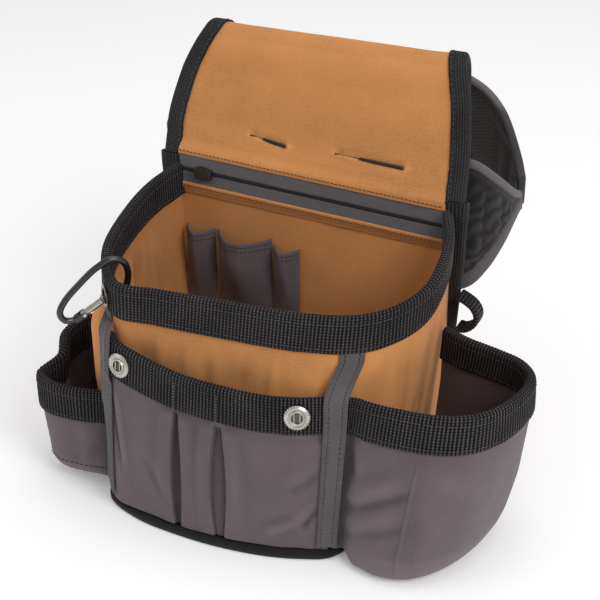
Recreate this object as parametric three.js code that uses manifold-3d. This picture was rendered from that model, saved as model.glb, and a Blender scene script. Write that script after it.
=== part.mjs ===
// Tool waist bag standing on its base with the flap thrown back and the belt closed behind it.
// Millimetres, +Z up, the front faces -Y and the origin is on the floor under the middle of the bag.
import * as THREE from 'three';
import { mergeVertices } from 'three/addons/utils/BufferGeometryUtils.js';
import Module from 'manifold-3d';

const wasm = await Module();
wasm.setup();

// Thicknesses and clearances
const GAP = 0.3;
const CANVAS = 2;
const SLEEVE = 1.6;
const FLAP = 2.5;
const PAD = 5;
const WEBBING = 1.7;
const BINDING = 1.2;
const TAPE = 1.2;
const STRAP = 2;

// Heights and widths
const BASE_HEIGHT = 5;
const WEBBING_WIDTH = 20;
const BACK_BINDING_WIDTH = 9;
const FLAP_BINDING_WIDTH = 10.5;
const STRAP_WIDTH = 12;
const BACK_FRONT_FACE = 58;
const BACK_THICKNESS = 3;
const BACK_TOP = 176;
const POCKET_RIM = 102;
const LEFT_POCKET_RIM = 68;
const LEFT_POCKET_FLOOR = 9;
const FOOT = BASE_HEIGHT + GAP;
const BAND_OFFSET = CANVAS / 2 + GAP + WEBBING;

// Colours
const TAN = 0xb27c42;
const GREY = 0x5d5a60;
const LIGHT_GREY = 0x7b7880;
const BLACK = 0x1e1e20;
const MESH_BLACK = 0x2a2a2d;
const SILVER = 0xc9c7c2;

const X_AXIS = new THREE.Vector3(1, 0, 0);
const Y_AXIS = new THREE.Vector3(0, 1, 0);
const Z_AXIS = new THREE.Vector3(0, 0, 1);

const table = (columns, rows) => rows.map((row) =>
  Object.fromEntries(columns.map((name, index) => [name, row[index]])));

const vector = (x, y, z) => new THREE.Vector3(x, y, z);

const lerp = THREE.MathUtils.lerp;

// Evenly spaced values from start to end, both included
function spread(start, end, steps) {
  return Array.from({ length: steps + 1 }, (_, index) => lerp(start, end, index / steps));
}

// Closed geometry from corner points and triangles, turned so that its faces point out
function closedGeometry(points, triangles) {
  const volume = triangles.reduce((sum, [a, b, c]) =>
    sum + points[a].dot(points[b].clone().cross(points[c])), 0);
  const index = triangles.flatMap(([a, b, c]) => (volume > 0 ? [a, b, c] : [a, c, b]));
  const geometry = new THREE.BufferGeometry();
  geometry.setAttribute('position', new THREE.Float32BufferAttribute(
    points.flatMap((point) => point.toArray()), 3));
  geometry.setIndex(index);
  geometry.computeVertexNormals();
  return geometry;
}

// A sheet of even thickness around a grid of points on its middle surface
function sheet(grid, thickness) {
  const lastColumn = grid.length - 1;
  const lastRow = grid[0].length - 1;
  const points = [];
  const triangles = [];
  const at = (column, row, side) => 2 * (column * (lastRow + 1) + row) + side;
  const quad = (a, b, c, d) => triangles.push([a, b, c], [a, c, d]);
  for (let column = 0; column <= lastColumn; column += 1) {
    for (let row = 0; row <= lastRow; row += 1) {
      const along = grid[Math.min(column + 1, lastColumn)][row].clone()
        .sub(grid[Math.max(column - 1, 0)][row]);
      const down = grid[column][Math.min(row + 1, lastRow)].clone()
        .sub(grid[column][Math.max(row - 1, 0)]);
      const normal = down.cross(along).setLength(thickness / 2);
      points.push(grid[column][row].clone().add(normal), grid[column][row].clone().sub(normal));
    }
  }
  for (let column = 0; column < lastColumn; column += 1) {
    for (let row = 0; row < lastRow; row += 1) {
      quad(at(column, row, 0), at(column, row + 1, 0), at(column + 1, row + 1, 0), at(column + 1, row, 0));
      quad(at(column, row, 1), at(column + 1, row, 1), at(column + 1, row + 1, 1), at(column, row + 1, 1));
    }
    quad(at(column, 0, 0), at(column + 1, 0, 0), at(column + 1, 0, 1), at(column, 0, 1));
    quad(at(column, lastRow, 0), at(column, lastRow, 1),
      at(column + 1, lastRow, 1), at(column + 1, lastRow, 0));
  }
  for (let row = 0; row < lastRow; row += 1) {
    quad(at(0, row, 0), at(0, row, 1), at(0, row + 1, 1), at(0, row + 1, 0));
    quad(at(lastColumn, row, 0), at(lastColumn, row + 1, 0),
      at(lastColumn, row + 1, 1), at(lastColumn, row, 1));
  }
  return closedGeometry(points, triangles);
}

// A bar through rings of points, capped by the flat outline that all the rings share
function bar(rings, outline) {
  const count = outline.length;
  const corners = outline.map(([a, b]) => new THREE.Vector2(a, b));
  const caps = THREE.ShapeUtils.triangulateShape(corners, []);
  const clockwise = THREE.ShapeUtils.isClockWise(corners);
  const last = (rings.length - 1) * count;
  const triangles = [];
  for (let ring = 0; ring < rings.length - 1; ring += 1) {
    for (let side = 0; side < count; side += 1) {
      const a = ring * count + side;
      const b = ring * count + ((side + 1) % count);
      triangles.push([a, b, b + count], [a, b + count, a + count]);
    }
  }
  for (const cap of caps) {
    const [a, b, c] = clockwise ? cap.toReversed() : cap;
    triangles.push([a, c, b], [last + a, last + b, last + c]);
  }
  return closedGeometry(rings.flat(), triangles);
}

// A cloth wall between a rim line and a foot line. Each table row is one section through the wall:
// its rim point, its foot point and how far it bows out half way down.
class Wall {
  constructor(rows, folds = []) {
    this.rim = new THREE.CatmullRomCurve3(rows.map((row) => vector(row.rimX, row.rimY, row.rimZ)));
    this.foot = new THREE.CatmullRomCurve3(rows.map((row) => vector(row.footX, row.footY, row.footZ)));
    this.bows = rows.map((row) => row.bow);
    this.folds = folds;
    this.lowest = Math.min(...rows.map((row) => row.footZ));
    this.length = this.rim.getLength();
  }

  // The section at a run in millimetres along the rim, carried on straight past the wall's ends
  section(run) {
    const inside = THREE.MathUtils.clamp(run, 0, this.length);
    const place = this.rim.getUtoTmapping(inside / this.length);
    const along = this.rim.getTangent(place).setZ(0).normalize();
    const extra = along.clone().multiplyScalar(run - inside);
    const position = place * (this.bows.length - 1);
    const first = Math.min(Math.floor(position), this.bows.length - 2);
    const foot = this.foot.getPoint(place).add(extra);
    return {
      place,
      out: along.cross(Z_AXIS),
      bow: lerp(this.bows[first], this.bows[first + 1], position - first),
      rim: this.rim.getPoint(place).add(extra),
      foot: foot.setZ(Math.max(foot.z, this.lowest)),
    };
  }

  height(run) {
    const { rim, foot } = this.section(run);
    return rim.distanceTo(foot);
  }

  // A point of the middle surface at a depth below the rim
  middle(run, depth) {
    const { rim, foot, out, bow } = this.section(run);
    const part = depth / rim.distanceTo(foot);
    const point = rim.clone().lerp(foot, part);
    let push = 4 * bow * part * (1 - part);
    for (const fold of this.folds) {
      const closeness = Math.max(0, 1 - Math.abs(run - fold.run) / fold.halfWidth);
      push -= fold.depth * closeness * THREE.MathUtils.smoothstep(part, fold.start, 1);
    }
    return point.addScaledVector(out, push);
  }

  normal(run, depth) {
    const step = 0.5;
    const along = this.middle(run + step, depth).sub(this.middle(run - step, depth));
    const down = this.middle(run, depth + step).sub(this.middle(run, depth - step));
    return down.cross(along).normalize();
  }

  // A point set off outwards from the middle surface
  at(run, depth, offset) {
    return this.middle(run, depth).addScaledVector(this.normal(run, depth), offset);
  }

  // The run whose rim point lies nearest to a place in plan
  runNear(x, y) {
    const runs = spread(0, this.length, 400);
    const apart = (run) => {
      const { rim } = this.section(run);
      return Math.hypot(rim.x - x, rim.y - y);
    };
    return runs.reduce((best, run) => (apart(run) < apart(best) ? run : best));
  }

  // The wall by itself, as a sheet with the given rows below the webbing's part
  panel(runs, rows, thickness) {
    return sheet(runs.map((run) => [0, WEBBING_WIDTH / 2, ...spread(WEBBING_WIDTH, this.height(run), rows)]
      .map((depth) => this.middle(run, depth))), thickness);
  }

  // The wall as a plain band with even rows
  band(runs, rows, thickness) {
    return sheet(runs.map((run) =>
      spread(0, this.height(run), rows).map((depth) => this.middle(run, depth))), thickness);
  }

  // Webbing folded over the rim, with a leg of the given width on both sides
  foldedBand(runs, width) {
    const near = CANVAS / 2 + GAP;
    const far = near + WEBBING;
    const outline = [
      [far, width], [far, width / 2], [far, -GAP - WEBBING],
      [-far, -GAP - WEBBING], [-far, width / 2], [-far, width],
      [-near, width], [-near, width / 2], [-near, -GAP],
      [near, -GAP], [near, width / 2], [near, width],
    ];
    return bar(runs.map((run) => outline.map(([offset, depth]) => this.at(run, depth, offset))), outline);
  }
}

// A pouch is a wall whose cloth turns in at the foot and runs along a floor to a root line
class Pouch extends Wall {
  constructor(rows, turn) {
    super(rows);
    this.roots = new THREE.CatmullRomCurve3(rows.map((row) => vector(row.rootX, row.rootY, row.footZ)));
    this.turn = turn;
  }

  skin(runs, rows, thickness) {
    return sheet(runs.map((run) => {
      const { place, foot } = this.section(run);
      const root = this.roots.getPoint(place).setZ(foot.z);
      const floor = foot.distanceTo(root);
      const turn = Math.min(this.turn, floor * 0.45);
      const straight = this.height(run) - turn;
      const start = this.middle(run, straight);
      const end = foot.clone().lerp(root, turn / floor);
      const bend = new THREE.QuadraticBezierCurve3(start, foot, end);
      const down = [0, WEBBING_WIDTH / 2, ...spread(WEBBING_WIDTH, straight, rows)]
        .map((depth) => this.middle(run, depth));
      return [...down, bend.getPoint(0.33), bend.getPoint(0.67), end, end.clone().lerp(root, 0.5), root];
    }), thickness);
  }
}

function manifoldOf(geometry) {
  const bare = geometry.clone();
  bare.deleteAttribute('normal');
  bare.deleteAttribute('uv');
  const merged = mergeVertices(bare, 1e-4);
  return new wasm.Manifold(new wasm.Mesh({
    numProp: 3,
    vertProperties: new Float32Array(merged.attributes.position.array),
    triVerts: new Uint32Array(merged.index.array),
  }));
}

// One geometry with another cut away
function cut(geometry, tool) {
  const mesh = manifoldOf(geometry).subtract(manifoldOf(tool)).getMesh();
  const result = new THREE.BufferGeometry();
  result.setAttribute('position', new THREE.BufferAttribute(new Float32Array(mesh.vertProperties), 3));
  result.setIndex(new THREE.BufferAttribute(new Uint32Array(mesh.triVerts), 1));
  result.computeVertexNormals();
  return result;
}

const bag = new THREE.Group();

function add(name, geometry, color, roughness = 0.9, metalness = 0) {
  const mesh = new THREE.Mesh(geometry, new THREE.MeshStandardMaterial({ color, roughness, metalness }));
  mesh.name = name;
  bag.add(mesh);
  return mesh;
}

// Stand a piece whose own axis is +Y on a surface point, along the surface normal
function seat(mesh, point, normal) {
  mesh.quaternion.setFromUnitVectors(Y_AXIS, normal);
  mesh.position.copy(point);
}

// Base panel
const baseOutline = table(['x', 'y'], [
  [-88, 57], [-91, 28], [-91, 2], [-88, -34], [-82, -60], [-74, -76], [-50, -87.5], [-20, -92],
  [10, -92.5], [38, -89], [58, -83], [73, -75], [83, -50], [90, -20], [91, 6], [92, 30], [91, 57],
]);
const baseShape = new THREE.Shape();
baseShape.moveTo(baseOutline[0].x, baseOutline[0].y);
baseShape.splineThru(baseOutline.slice(1).map(({ x, y }) => new THREE.Vector2(x, y)));
add('base_panel', new THREE.ExtrudeGeometry(baseShape, {
  depth: BASE_HEIGHT, bevelEnabled: false, curveSegments: 2,
}), BLACK, 0.8);

// Body wall from the back left corner round the front to the back right corner
const body = new Wall(table(['rimX', 'rimY', 'rimZ', 'footX', 'footY', 'bow'], [
  [-91, 54.8, 171, -87, 54.8, 0],
  [-96.5, 28, 166.5, -88.5, 28, 1],
  [-97, 2, 161, -88.5, 2, 1.5],
  [-93, -30, 153, -85, -34, 1.5],
  [-83, -49, 149, -78, -56, 1],
  [-68, -64, 146, -66, -66, 0],
  [-42, -61.5, 145.5, -42, -75, 1],
  [0, -58.5, 145.5, 0, -79, 2],
  [45, -54, 145.5, 43, -76, 3],
  [76, -43.5, 146, 70, -65, 4],
  [93, -29, 149, 82, -42, 4],
  [103.5, -11, 154.5, 87.5, -18, 3],
  [105.5, 6, 161, 88.5, 6, 2],
  [102, 30, 167, 88.5, 30, 1],
  [92.5, 54.2, 171, 91, 54.2, 2.5],
]).map((row) => ({ ...row, footZ: FOOT })));
const bodyRuns = spread(0, body.length, 35);

// Eyelet through the rim near the left front corner
const EYELET_BORE = 4.6;
const EYELET_TUBE = 5.4;
const EYELET_FLANGE = 7.2;
const EYELET_LIP = 0.9;
const EYELET_DEPTH = 12;
const eyeletRun = body.runNear(-75.5, -57.5);
const eyeletNormal = body.normal(eyeletRun, EYELET_DEPTH);
const eyeletPoint = body.middle(eyeletRun, EYELET_DEPTH);
const eyeletHole = new THREE.CylinderGeometry(EYELET_TUBE + GAP, EYELET_TUBE + GAP, 4 * BAND_OFFSET, 16);
eyeletHole.applyQuaternion(new THREE.Quaternion().setFromUnitVectors(Y_AXIS, eyeletNormal));
eyeletHole.translate(...eyeletPoint.toArray());
add('body_shell', cut(body.panel(bodyRuns, 4, CANVAS), eyeletHole), TAN);
add('rim_webbing', cut(body.foldedBand(bodyRuns, WEBBING_WIDTH), eyeletHole), BLACK, 0.75);
const eyeletOuter = BAND_OFFSET + GAP;
const eyeletInner = BAND_OFFSET + 7 * GAP;
const eyelet = add('rim_eyelet', new THREE.LatheGeometry([
  [EYELET_BORE, eyeletOuter + EYELET_LIP], [EYELET_BORE, -eyeletInner - EYELET_LIP],
  [EYELET_FLANGE, -eyeletInner - EYELET_LIP], [EYELET_FLANGE, -eyeletInner],
  [EYELET_TUBE, -eyeletInner], [EYELET_TUBE, eyeletOuter],
  [EYELET_FLANGE, eyeletOuter], [EYELET_FLANGE, eyeletOuter + EYELET_LIP],
  [EYELET_BORE, eyeletOuter + EYELET_LIP],
].map(([radius, height]) => new THREE.Vector2(radius, height)), 18), BLACK, 0.4, 0.6);
seat(eyelet, eyeletPoint, eyeletNormal);

// Back panel and the binding of its side edges
const backEdge = table(['z', 'halfWidth'], [
  [FOOT, 91], [50, 94.5], [95, 98.5], [140, 101.5], [BACK_TOP, 102],
]);
const backShape = new THREE.Shape([
  ...backEdge.map(({ z, halfWidth }) => new THREE.Vector2(halfWidth, z)),
  ...backEdge.toReversed().map(({ z, halfWidth }) => new THREE.Vector2(-halfWidth, z)),
]);
const backPanel = new THREE.ExtrudeGeometry(backShape, { depth: BACK_THICKNESS, bevelEnabled: false });
backPanel.rotateX(Math.PI / 2);
backPanel.translate(0, BACK_FRONT_FACE + BACK_THICKNESS, 0);
add('back_panel', backPanel, TAN);

// Outline of binding folded over an edge, as distance past the edge and height above the middle
function bindingOutline(thickness, width) {
  const near = thickness / 2 + GAP;
  const far = near + BINDING;
  return [
    [-width, far], [GAP + BINDING, far], [GAP + BINDING, -far], [-width, -far],
    [-width, -near], [GAP, -near], [GAP, near], [-width, near],
  ];
}

const backBinding = bindingOutline(BACK_THICKNESS, BACK_BINDING_WIDTH);
const backMiddle = BACK_FRONT_FACE + BACK_THICKNESS / 2;
for (const [side, name] of [[-1, 'left'], [1, 'right']]) {
  const rings = backEdge.map(({ z, halfWidth }) => backBinding.map(([past, height]) =>
    vector(side * (halfWidth + past), backMiddle + height, z)));
  add(`back_binding_${name}`, bar(rings, backBinding), BLACK, 0.75);
}

// Front pocket with two pleats
const PLEAT_HALF_WIDTH = 7;
const frontRows = table(['rimX', 'rimY', 'rimZ', 'footX', 'footY', 'bow'], [
  [-76, -65.5, 114, -78, -70.5, 0],
  [-68, -72.5, 112.5, -69.5, -80, 1],
  [-50, -76.5, 109.3, -49, -85.5, 2],
  [-22, -79, 104, -20, -89, 2],
  [8, -81, 103.5, 10, -89.5, 2],
  [32, -79, 102.7, 36, -86, 2],
  [52, -73, 102.5, 55, -80.5, 2],
  [64, -66.5, 102.2, 64, -76.5, 1],
  [72.5, -63, POCKET_RIM, 70.5, -74, 0],
]).map((row) => ({ ...row, footZ: FOOT }));
const flatFront = new Wall(frontRows);
const pleats = table(['x', 'y', 'depth'], [[-22, -79, 6], [6, -81, 7]]).map(({ x, y, depth }) => ({
  run: flatFront.runNear(x, y), halfWidth: PLEAT_HALF_WIDTH, depth, start: 0.2,
}));
const front = new Wall(frontRows, pleats);
const pleatRuns = pleats.flatMap(({ run }) => spread(run - PLEAT_HALF_WIDTH, run + PLEAT_HALF_WIDTH, 4));
const smoothRuns = spread(0, front.length, 20).filter((run) =>
  pleats.every((pleat) => Math.abs(run - pleat.run) > PLEAT_HALF_WIDTH + 1));
const frontRuns = [...smoothRuns, ...pleatRuns].sort((a, b) => a - b);
add('front_pocket', front.panel(frontRuns, 4, CANVAS), GREY);
add('front_pocket_webbing', front.foldedBand(spread(0, front.length, 20), WEBBING_WIDTH), BLACK, 0.75);

// A pocket row that lies under a seam tape, in line with the end of the front pocket
function seamRow(run, rimZ, footZ) {
  const rim = front.middle(run, front.section(run).rim.z - rimZ);
  const foot = front.middle(run, front.height(run) - (footZ - FOOT));
  return { rimX: rim.x, rimY: rim.y, rimZ, footX: foot.x, footY: foot.y, footZ, bow: 0 };
}

const SEAM_GAP = 0.8;
const SEAM_REACH = 8;
const pouchColumns = ['rimX', 'rimY', 'rimZ', 'footX', 'footY', 'bow', 'rootX', 'rootY'];

// Right pocket from the seam round to the back of the body
const RIGHT_FLOOR = CANVAS / 2;
const SEAM_FLOOR = FOOT + CANVAS / 2;
const right = new Pouch([
  { ...seamRow(front.length + SEAM_GAP, POCKET_RIM, SEAM_FLOOR), rootX: 76.5, rootY: -69 },
  { ...seamRow(front.length + SEAM_REACH, POCKET_RIM, SEAM_FLOOR), rootX: 80.5, rootY: -61 },
  ...table(pouchColumns, [
    [92, -62, 102.5, 90, -82, 1, 83.5, -54],
    [110, -62.5, 103, 108, -87, 2, 87, -44],
    [130, -60, 103, 126, -81, 3, 89.5, -34],
    [147, -51.5, 103, 139, -65, 4, 91.5, -25],
    [158, -36, 103, 147, -43, 5, 92.5, -14],
    [164.7, -14, 103.5, 151, -13, 5, 93, -4],
    [163.7, 3, 103.5, 148, 6, 5, 93, 6],
    [153.5, 16, 103.5, 136, 19, 4, 93, 14],
    [136, 23, 103.5, 119, 27, 2, 93, 22],
    [116, 29, 103.5, 104, 32, 1, 93, 29],
    [100.3, 37, 103.5, 94.5, 37, 0, 92.5, 36],
  ]).map((row) => ({ ...row, footZ: RIGHT_FLOOR })),
], 16);
const rightRuns = spread(0, right.length, 23);
add('right_pocket', right.skin(rightRuns, 3, CANVAS), GREY);
add('right_pocket_webbing', right.foldedBand(rightRuns, WEBBING_WIDTH), BLACK, 0.75);

// Left pocket, lower in front, from the body round to the seam
const left = new Pouch([
  ...table(pouchColumns, [
    [-96.6, -3, 88, -92.5, -5, 0, -91.2, -8],
    [-112, -6.5, 87.5, -105, -8, 0, -91.2, -14],
    [-124.5, -13, 86, -119, -14, 1, -91, -20],
    [-130, -28, 82, -125, -28, 1, -90.5, -27],
    [-126, -43.5, 76, -126.5, -45, 1, -89, -36],
    [-130.5, -58, 69, -124.5, -59, 1, -87, -44],
    [-120, -65.5, LEFT_POCKET_RIM, -116, -67, 1, -85, -50],
    [-100, -67, LEFT_POCKET_RIM, -99, -68, 0, -83, -55],
  ]).map((row) => ({ ...row, footZ: LEFT_POCKET_FLOOR })),
  { ...seamRow(-SEAM_REACH, LEFT_POCKET_RIM, LEFT_POCKET_FLOOR), rootX: -81.5, rootY: -59 },
  { ...seamRow(-SEAM_GAP, LEFT_POCKET_RIM, LEFT_POCKET_FLOOR), rootX: -79.5, rootY: -65 },
], 8);
const leftRuns = spread(0, left.length, 22);
add('left_pocket', left.skin(leftRuns, 1, CANVAS), GREY);
add('left_pocket_webbing', left.foldedBand(leftRuns, WEBBING_WIDTH), BLACK, 0.75);

// Seam tapes run down from the rim webbing, out over the pocket edges and on to the base
const tapeOnWebbing = BAND_OFFSET + 2 * GAP + TAPE / 2;
const tapeOnCanvas = CANVAS / 2 + GAP + TAPE / 2;
const TAPE_TOP = -2.6;
const bodyTapeDepths = [WEBBING_WIDTH + GAP, WEBBING_WIDTH + 5];
const tapeColumns = ['name', 'end', 'from', 'to', 'lowest', 'bodyRun'];
for (const { name, end, from, to, lowest, bodyRun } of table(tapeColumns, [
  ['left', 0, -3.5, 9, 100, body.runNear(-72, -60)],
  ['right', front.length, -10, 6, 94, body.runNear(73.5, -44.5)],
])) {
  const tapeDepths = [TAPE_TOP, ...spread(10, lowest, 4)];
  const grid = spread(from, to, 2).map((across) => [
    ...bodyTapeDepths.map((depth) => body.at(bodyRun + across - (from + to) / 2, depth, tapeOnCanvas)),
    ...tapeDepths.map((depth) => front.at(end + across, depth, tapeOnWebbing)),
  ]);
  add(`seam_tape_${name}`, sheet(grid, TAPE), LIGHT_GREY);
}

// Ring snaps on the front pocket's webbing
const SNAP_RADIUS = 8;
const ringProfile = [[0, 0], [SNAP_RADIUS, 0], [SNAP_RADIUS, 1], [6.6, 1.8], [4.8, 1.3], [4.4, 2], [3.6, 2],
  [3.4, 0.8], [0, 0.8]].map(([radius, height]) => new THREE.Vector2(radius, height));
for (const { name, x, y, depth } of table(['name', 'x', 'y', 'depth'], [
  ['left', -59.5, -74.8, 9.5], ['right', 51, -73.4, 8.8],
])) {
  const run = front.runNear(x, y);
  const snap = add(`pocket_snap_${name}`, new THREE.LatheGeometry(ringProfile, 14), SILVER, 0.3, 0.9);
  seat(snap, front.at(run, depth, BAND_OFFSET + GAP), front.normal(run, depth));
}

// Tool sleeves on the inside of the back panel
const sleeveRoot = BACK_FRONT_FACE - GAP - SLEEVE / 2;
const SLEEVE_BOTTOM = 72;
for (const { name, from, to, top, bulge } of table(['name', 'from', 'to', 'top', 'bulge'], [
  ['left', -85.5, -65.5, 131, 9], ['middle', -63, -25, 131, 15], ['right', -23.5, -5.5, 127.5, 8],
])) {
  const grid = spread(0, 1, 10).map((across) => spread(top, SLEEVE_BOTTOM, 3).map((z) => {
    const fullness = lerp(0.1, 1, THREE.MathUtils.smoothstep(z, SLEEVE_BOTTOM, SLEEVE_BOTTOM + 45));
    const depth = bulge * fullness * Math.sin(Math.PI * across);
    return vector(lerp(from, to, across), sleeveRoot - depth, z);
  }));
  add(`tool_sleeve_${name}`, sheet(grid, SLEEVE), GREY);
}

// Zip across the back panel, slanting down to the right
const ZIP_HALF_LENGTH = 87;
const ZIP_MIDDLE = 165.5;
const ZIP_SLANT = 0.043;
const zipColumns = ['name', 'bottom', 'top', 'thickness', 'color'];
for (const { name, bottom, top, thickness, color } of table(zipColumns, [
  ['zip_tape_lower', -11, -2, 1, LIGHT_GREY],
  ['zip_coil', -1.7, 1.7, 1.8, BLACK],
  ['zip_tape_upper', 2, 8.5, 1, LIGHT_GREY],
])) {
  const strip = new THREE.BoxGeometry(2 * ZIP_HALF_LENGTH, thickness, top - bottom);
  strip.translate(0, -GAP - thickness / 2, (bottom + top) / 2);
  strip.rotateY(ZIP_SLANT);
  add(name, strip, color).position.set(0, BACK_FRONT_FACE, ZIP_MIDDLE);
}
const sliderShape = new THREE.Shape([[-6, -3], [-2, -4.5], [6, -3], [6, 3], [-2, 4.5], [-6, 3]]
  .map(([x, z]) => new THREE.Vector2(x, z)));
const slider = new THREE.ExtrudeGeometry(sliderShape, { depth: 2.4, bevelEnabled: false });
slider.rotateX(Math.PI / 2);
slider.translate(-72, -1.8 - 2 * GAP, 0);
slider.rotateY(ZIP_SLANT);
add('zip_slider', slider, SILVER, 0.4, 0.8).position.set(0, BACK_FRONT_FACE, ZIP_MIDDLE);

// Flap leaning back from the top of the back panel, over a soft fold and down behind
const flapRows = table(['y', 'z', 'halfWidth', 'shift'], [
  [59.5, 177.4, 100, 0], [65.5, 187.5, 100, -1.3], [73, 200, 100, -3], [86, 228, 95.2, -3.2],
  [95.5, 246, 88.5, -2.5], [104, 252.5, 85, -2], [112.5, 246, 83.5, -1.5], [115, 232, 82.5, -0.5],
  [112.5, 200, 82, 0], [108.5, 160, 81, 0],
]);
const flapLine = new THREE.CatmullRomCurve3(flapRows.map(({ y, z }) => vector(0, y, z)));
const flapSpans = new THREE.CatmullRomCurve3(
  flapRows.map(({ halfWidth, shift }, row) => vector(halfWidth, row, shift)));
const flapPlaces = spread(0, 1, 24);

// A point of the flap: a place down its length, a distance from its middle line and a height above it.
// The middle line is set off sideways, because the flap lies askew.
function flapAt(place, across, height) {
  const normal = flapLine.getTangent(place).cross(X_AXIS).normalize();
  const point = flapLine.getPoint(place).addScaledVector(normal, height);
  return point.setX(flapSpans.getPoint(place).z + across);
}
const flapHalfWidth = (place) => flapSpans.getPoint(place).x;
add('flap', sheet(spread(-1, 1, 2).map((across) =>
  flapPlaces.map((place) => flapAt(place, across * flapHalfWidth(place), 0))), FLAP), TAN);

const flapBinding = bindingOutline(FLAP, FLAP_BINDING_WIDTH);
const FLAP_CLEAR_OF_BACK = 0.03;
const FLAP_BINDING_END = 0.985;
for (const [side, name] of [[-1, 'left'], [1, 'right']]) {
  const rings = spread(FLAP_CLEAR_OF_BACK, FLAP_BINDING_END, 22).map((place) =>
    flapBinding.map(([past, height]) => flapAt(place, side * (flapHalfWidth(place) + past), height)));
  add(`flap_binding_${name}`, bar(rings, flapBinding), BLACK, 0.75);
}
const flapEnd = flapAt(1, 0, 0);
const flapDown = flapLine.getTangent(1);
const flapEndNormal = flapDown.clone().cross(X_AXIS).normalize();
const endHalfWidth = flapHalfWidth(1) - FLAP_BINDING_WIDTH - GAP;
add('flap_binding_end', bar([-endHalfWidth, endHalfWidth].map((x) => flapBinding.map(([past, height]) =>
  flapEnd.clone().addScaledVector(flapDown, past).addScaledVector(flapEndNormal, height).setX(x))),
flapBinding), BLACK, 0.75);

// Post snaps on the tail of the flap, which fit the pocket's rings
const SNAP_SPACING = 112;
const SNAP_PLACE = 0.9;
const postProfile = [[0, 0], [SNAP_RADIUS, 0], [SNAP_RADIUS, 1], [6.6, 1.6], [3.6, 1.3], [3, 3.2], [0, 3.2]]
  .map(([radius, height]) => new THREE.Vector2(radius, height));
const backwards = flapLine.getTangent(SNAP_PLACE).cross(X_AXIS).normalize();
const snapSide = Math.sign(backwards.y);
for (const [side, name] of [[-1, 'left'], [1, 'right']]) {
  const snap = add(`flap_snap_${name}`, new THREE.LatheGeometry(postProfile, 14), SILVER, 0.3, 0.9);
  seat(snap, flapAt(SNAP_PLACE, side * SNAP_SPACING / 2, snapSide * (FLAP / 2 + GAP)),
    backwards.clone().multiplyScalar(snapSide));
}

// Belt: the hip pad lies against the back of the bag and ends in two wings
const wingRows = table(['x', 'rimY', 'rimZ', 'footY', 'footZ'], [
  [0, 79.3, 198, 65.2, 114], [60, 79.3, 198, 65.2, 114], [88, 79.3, 198, 65.2, 114],
  [101, 79.5, 197, 69.5, 117], [109, 83, 191, 79, 125.5], [114.5, 92, 182, 91, 136.5],
  [117.3, 105, 172, 105, 147], [118, 119, 165, 119, 153],
]);
const beltRow = (side) => ({ x, rimY, rimZ, footY, footZ }) =>
  ({ rimX: side * x, rimY, rimZ, footX: side * x, footY, footZ, bow: 0 });
const hip = new Wall([
  ...wingRows.slice(1).toReversed().map(beltRow(-1)), ...wingRows.map(beltRow(1)),
]);
add('hip_pad', hip.band(spread(0, hip.length, 40), 3, PAD), GREY);

// The lumbar pad closes the loop behind the wearer
const lumbarRows = table(['x', 'rimY', 'rimZ', 'footY', 'footZ'], [
  [115.5, 133, 168, 133, 150], [106, 151, 177.5, 151, 138], [88, 171, 198, 171, 124],
  [60, 194, 207, 194, 116], [0, 212, 211, 212, 113],
]);
const LUMBAR_LEFT_END = { x: 112, rimY: 142, rimZ: 174, footY: 142, footZ: 145 };
const lumbar = new Wall([
  ...lumbarRows.map(beltRow(1)),
  ...lumbarRows.slice(1, -1).toReversed().map(beltRow(-1)),
  beltRow(-1)(LUMBAR_LEFT_END),
]);
add('lumbar_pad', lumbar.band(spread(0, lumbar.length, 30), 3, PAD), MESH_BLACK);

// Webbing on the waist side joins the tips of the wings to the lumbar pad
const strapInside = -(PAD / 2 + 2 * GAP + STRAP / 2);
const STRAP_LAP = 14;
const STRAP_MIDDLE = 159;
function strapWall(places) {
  return new Wall(places.map(([wall, run]) => {
    const point = wall.at(run, wall.height(run) / 2, strapInside);
    return {
      rimX: point.x, rimY: point.y, rimZ: STRAP_MIDDLE + STRAP_WIDTH / 2,
      footX: point.x, footY: point.y, footZ: STRAP_MIDDLE - STRAP_WIDTH / 2, bow: 0,
    };
  }));
}
const rightStrap = strapWall([
  [hip, hip.length - STRAP_LAP], [hip, hip.length - 1], [lumbar, 1], [lumbar, STRAP_LAP],
]);
const leftStrap = strapWall([
  [lumbar, lumbar.length - STRAP_LAP], [lumbar, lumbar.length - 1], [hip, 1], [hip, STRAP_LAP],
]);
add('belt_strap_right', rightStrap.band(spread(0, rightStrap.length, 12), 1, STRAP), BLACK, 0.75);
add('belt_strap_left', leftStrap.band(spread(0, leftStrap.length, 12), 1, STRAP), BLACK, 0.75);

// Plain buckle on the left strap, between the pads
const BUCKLE = { length: 14, height: 26, depth: 9, slotDepth: 4.2 };
const buckleRun = leftStrap.length / 2;
const buckleGeometry = cut(
  new THREE.BoxGeometry(BUCKLE.length, BUCKLE.depth, BUCKLE.height),
  new THREE.BoxGeometry(2 * BUCKLE.length, BUCKLE.slotDepth, STRAP_WIDTH + 4 * GAP),
);
const buckle = add('belt_buckle', buckleGeometry, BLACK, 0.5);
const buckleOut = leftStrap.normal(buckleRun, STRAP_WIDTH / 2);
buckle.rotation.z = Math.atan2(buckleOut.y, buckleOut.x) + Math.PI / 2;
buckle.position.copy(leftStrap.middle(buckleRun, STRAP_WIDTH / 2));

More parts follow.
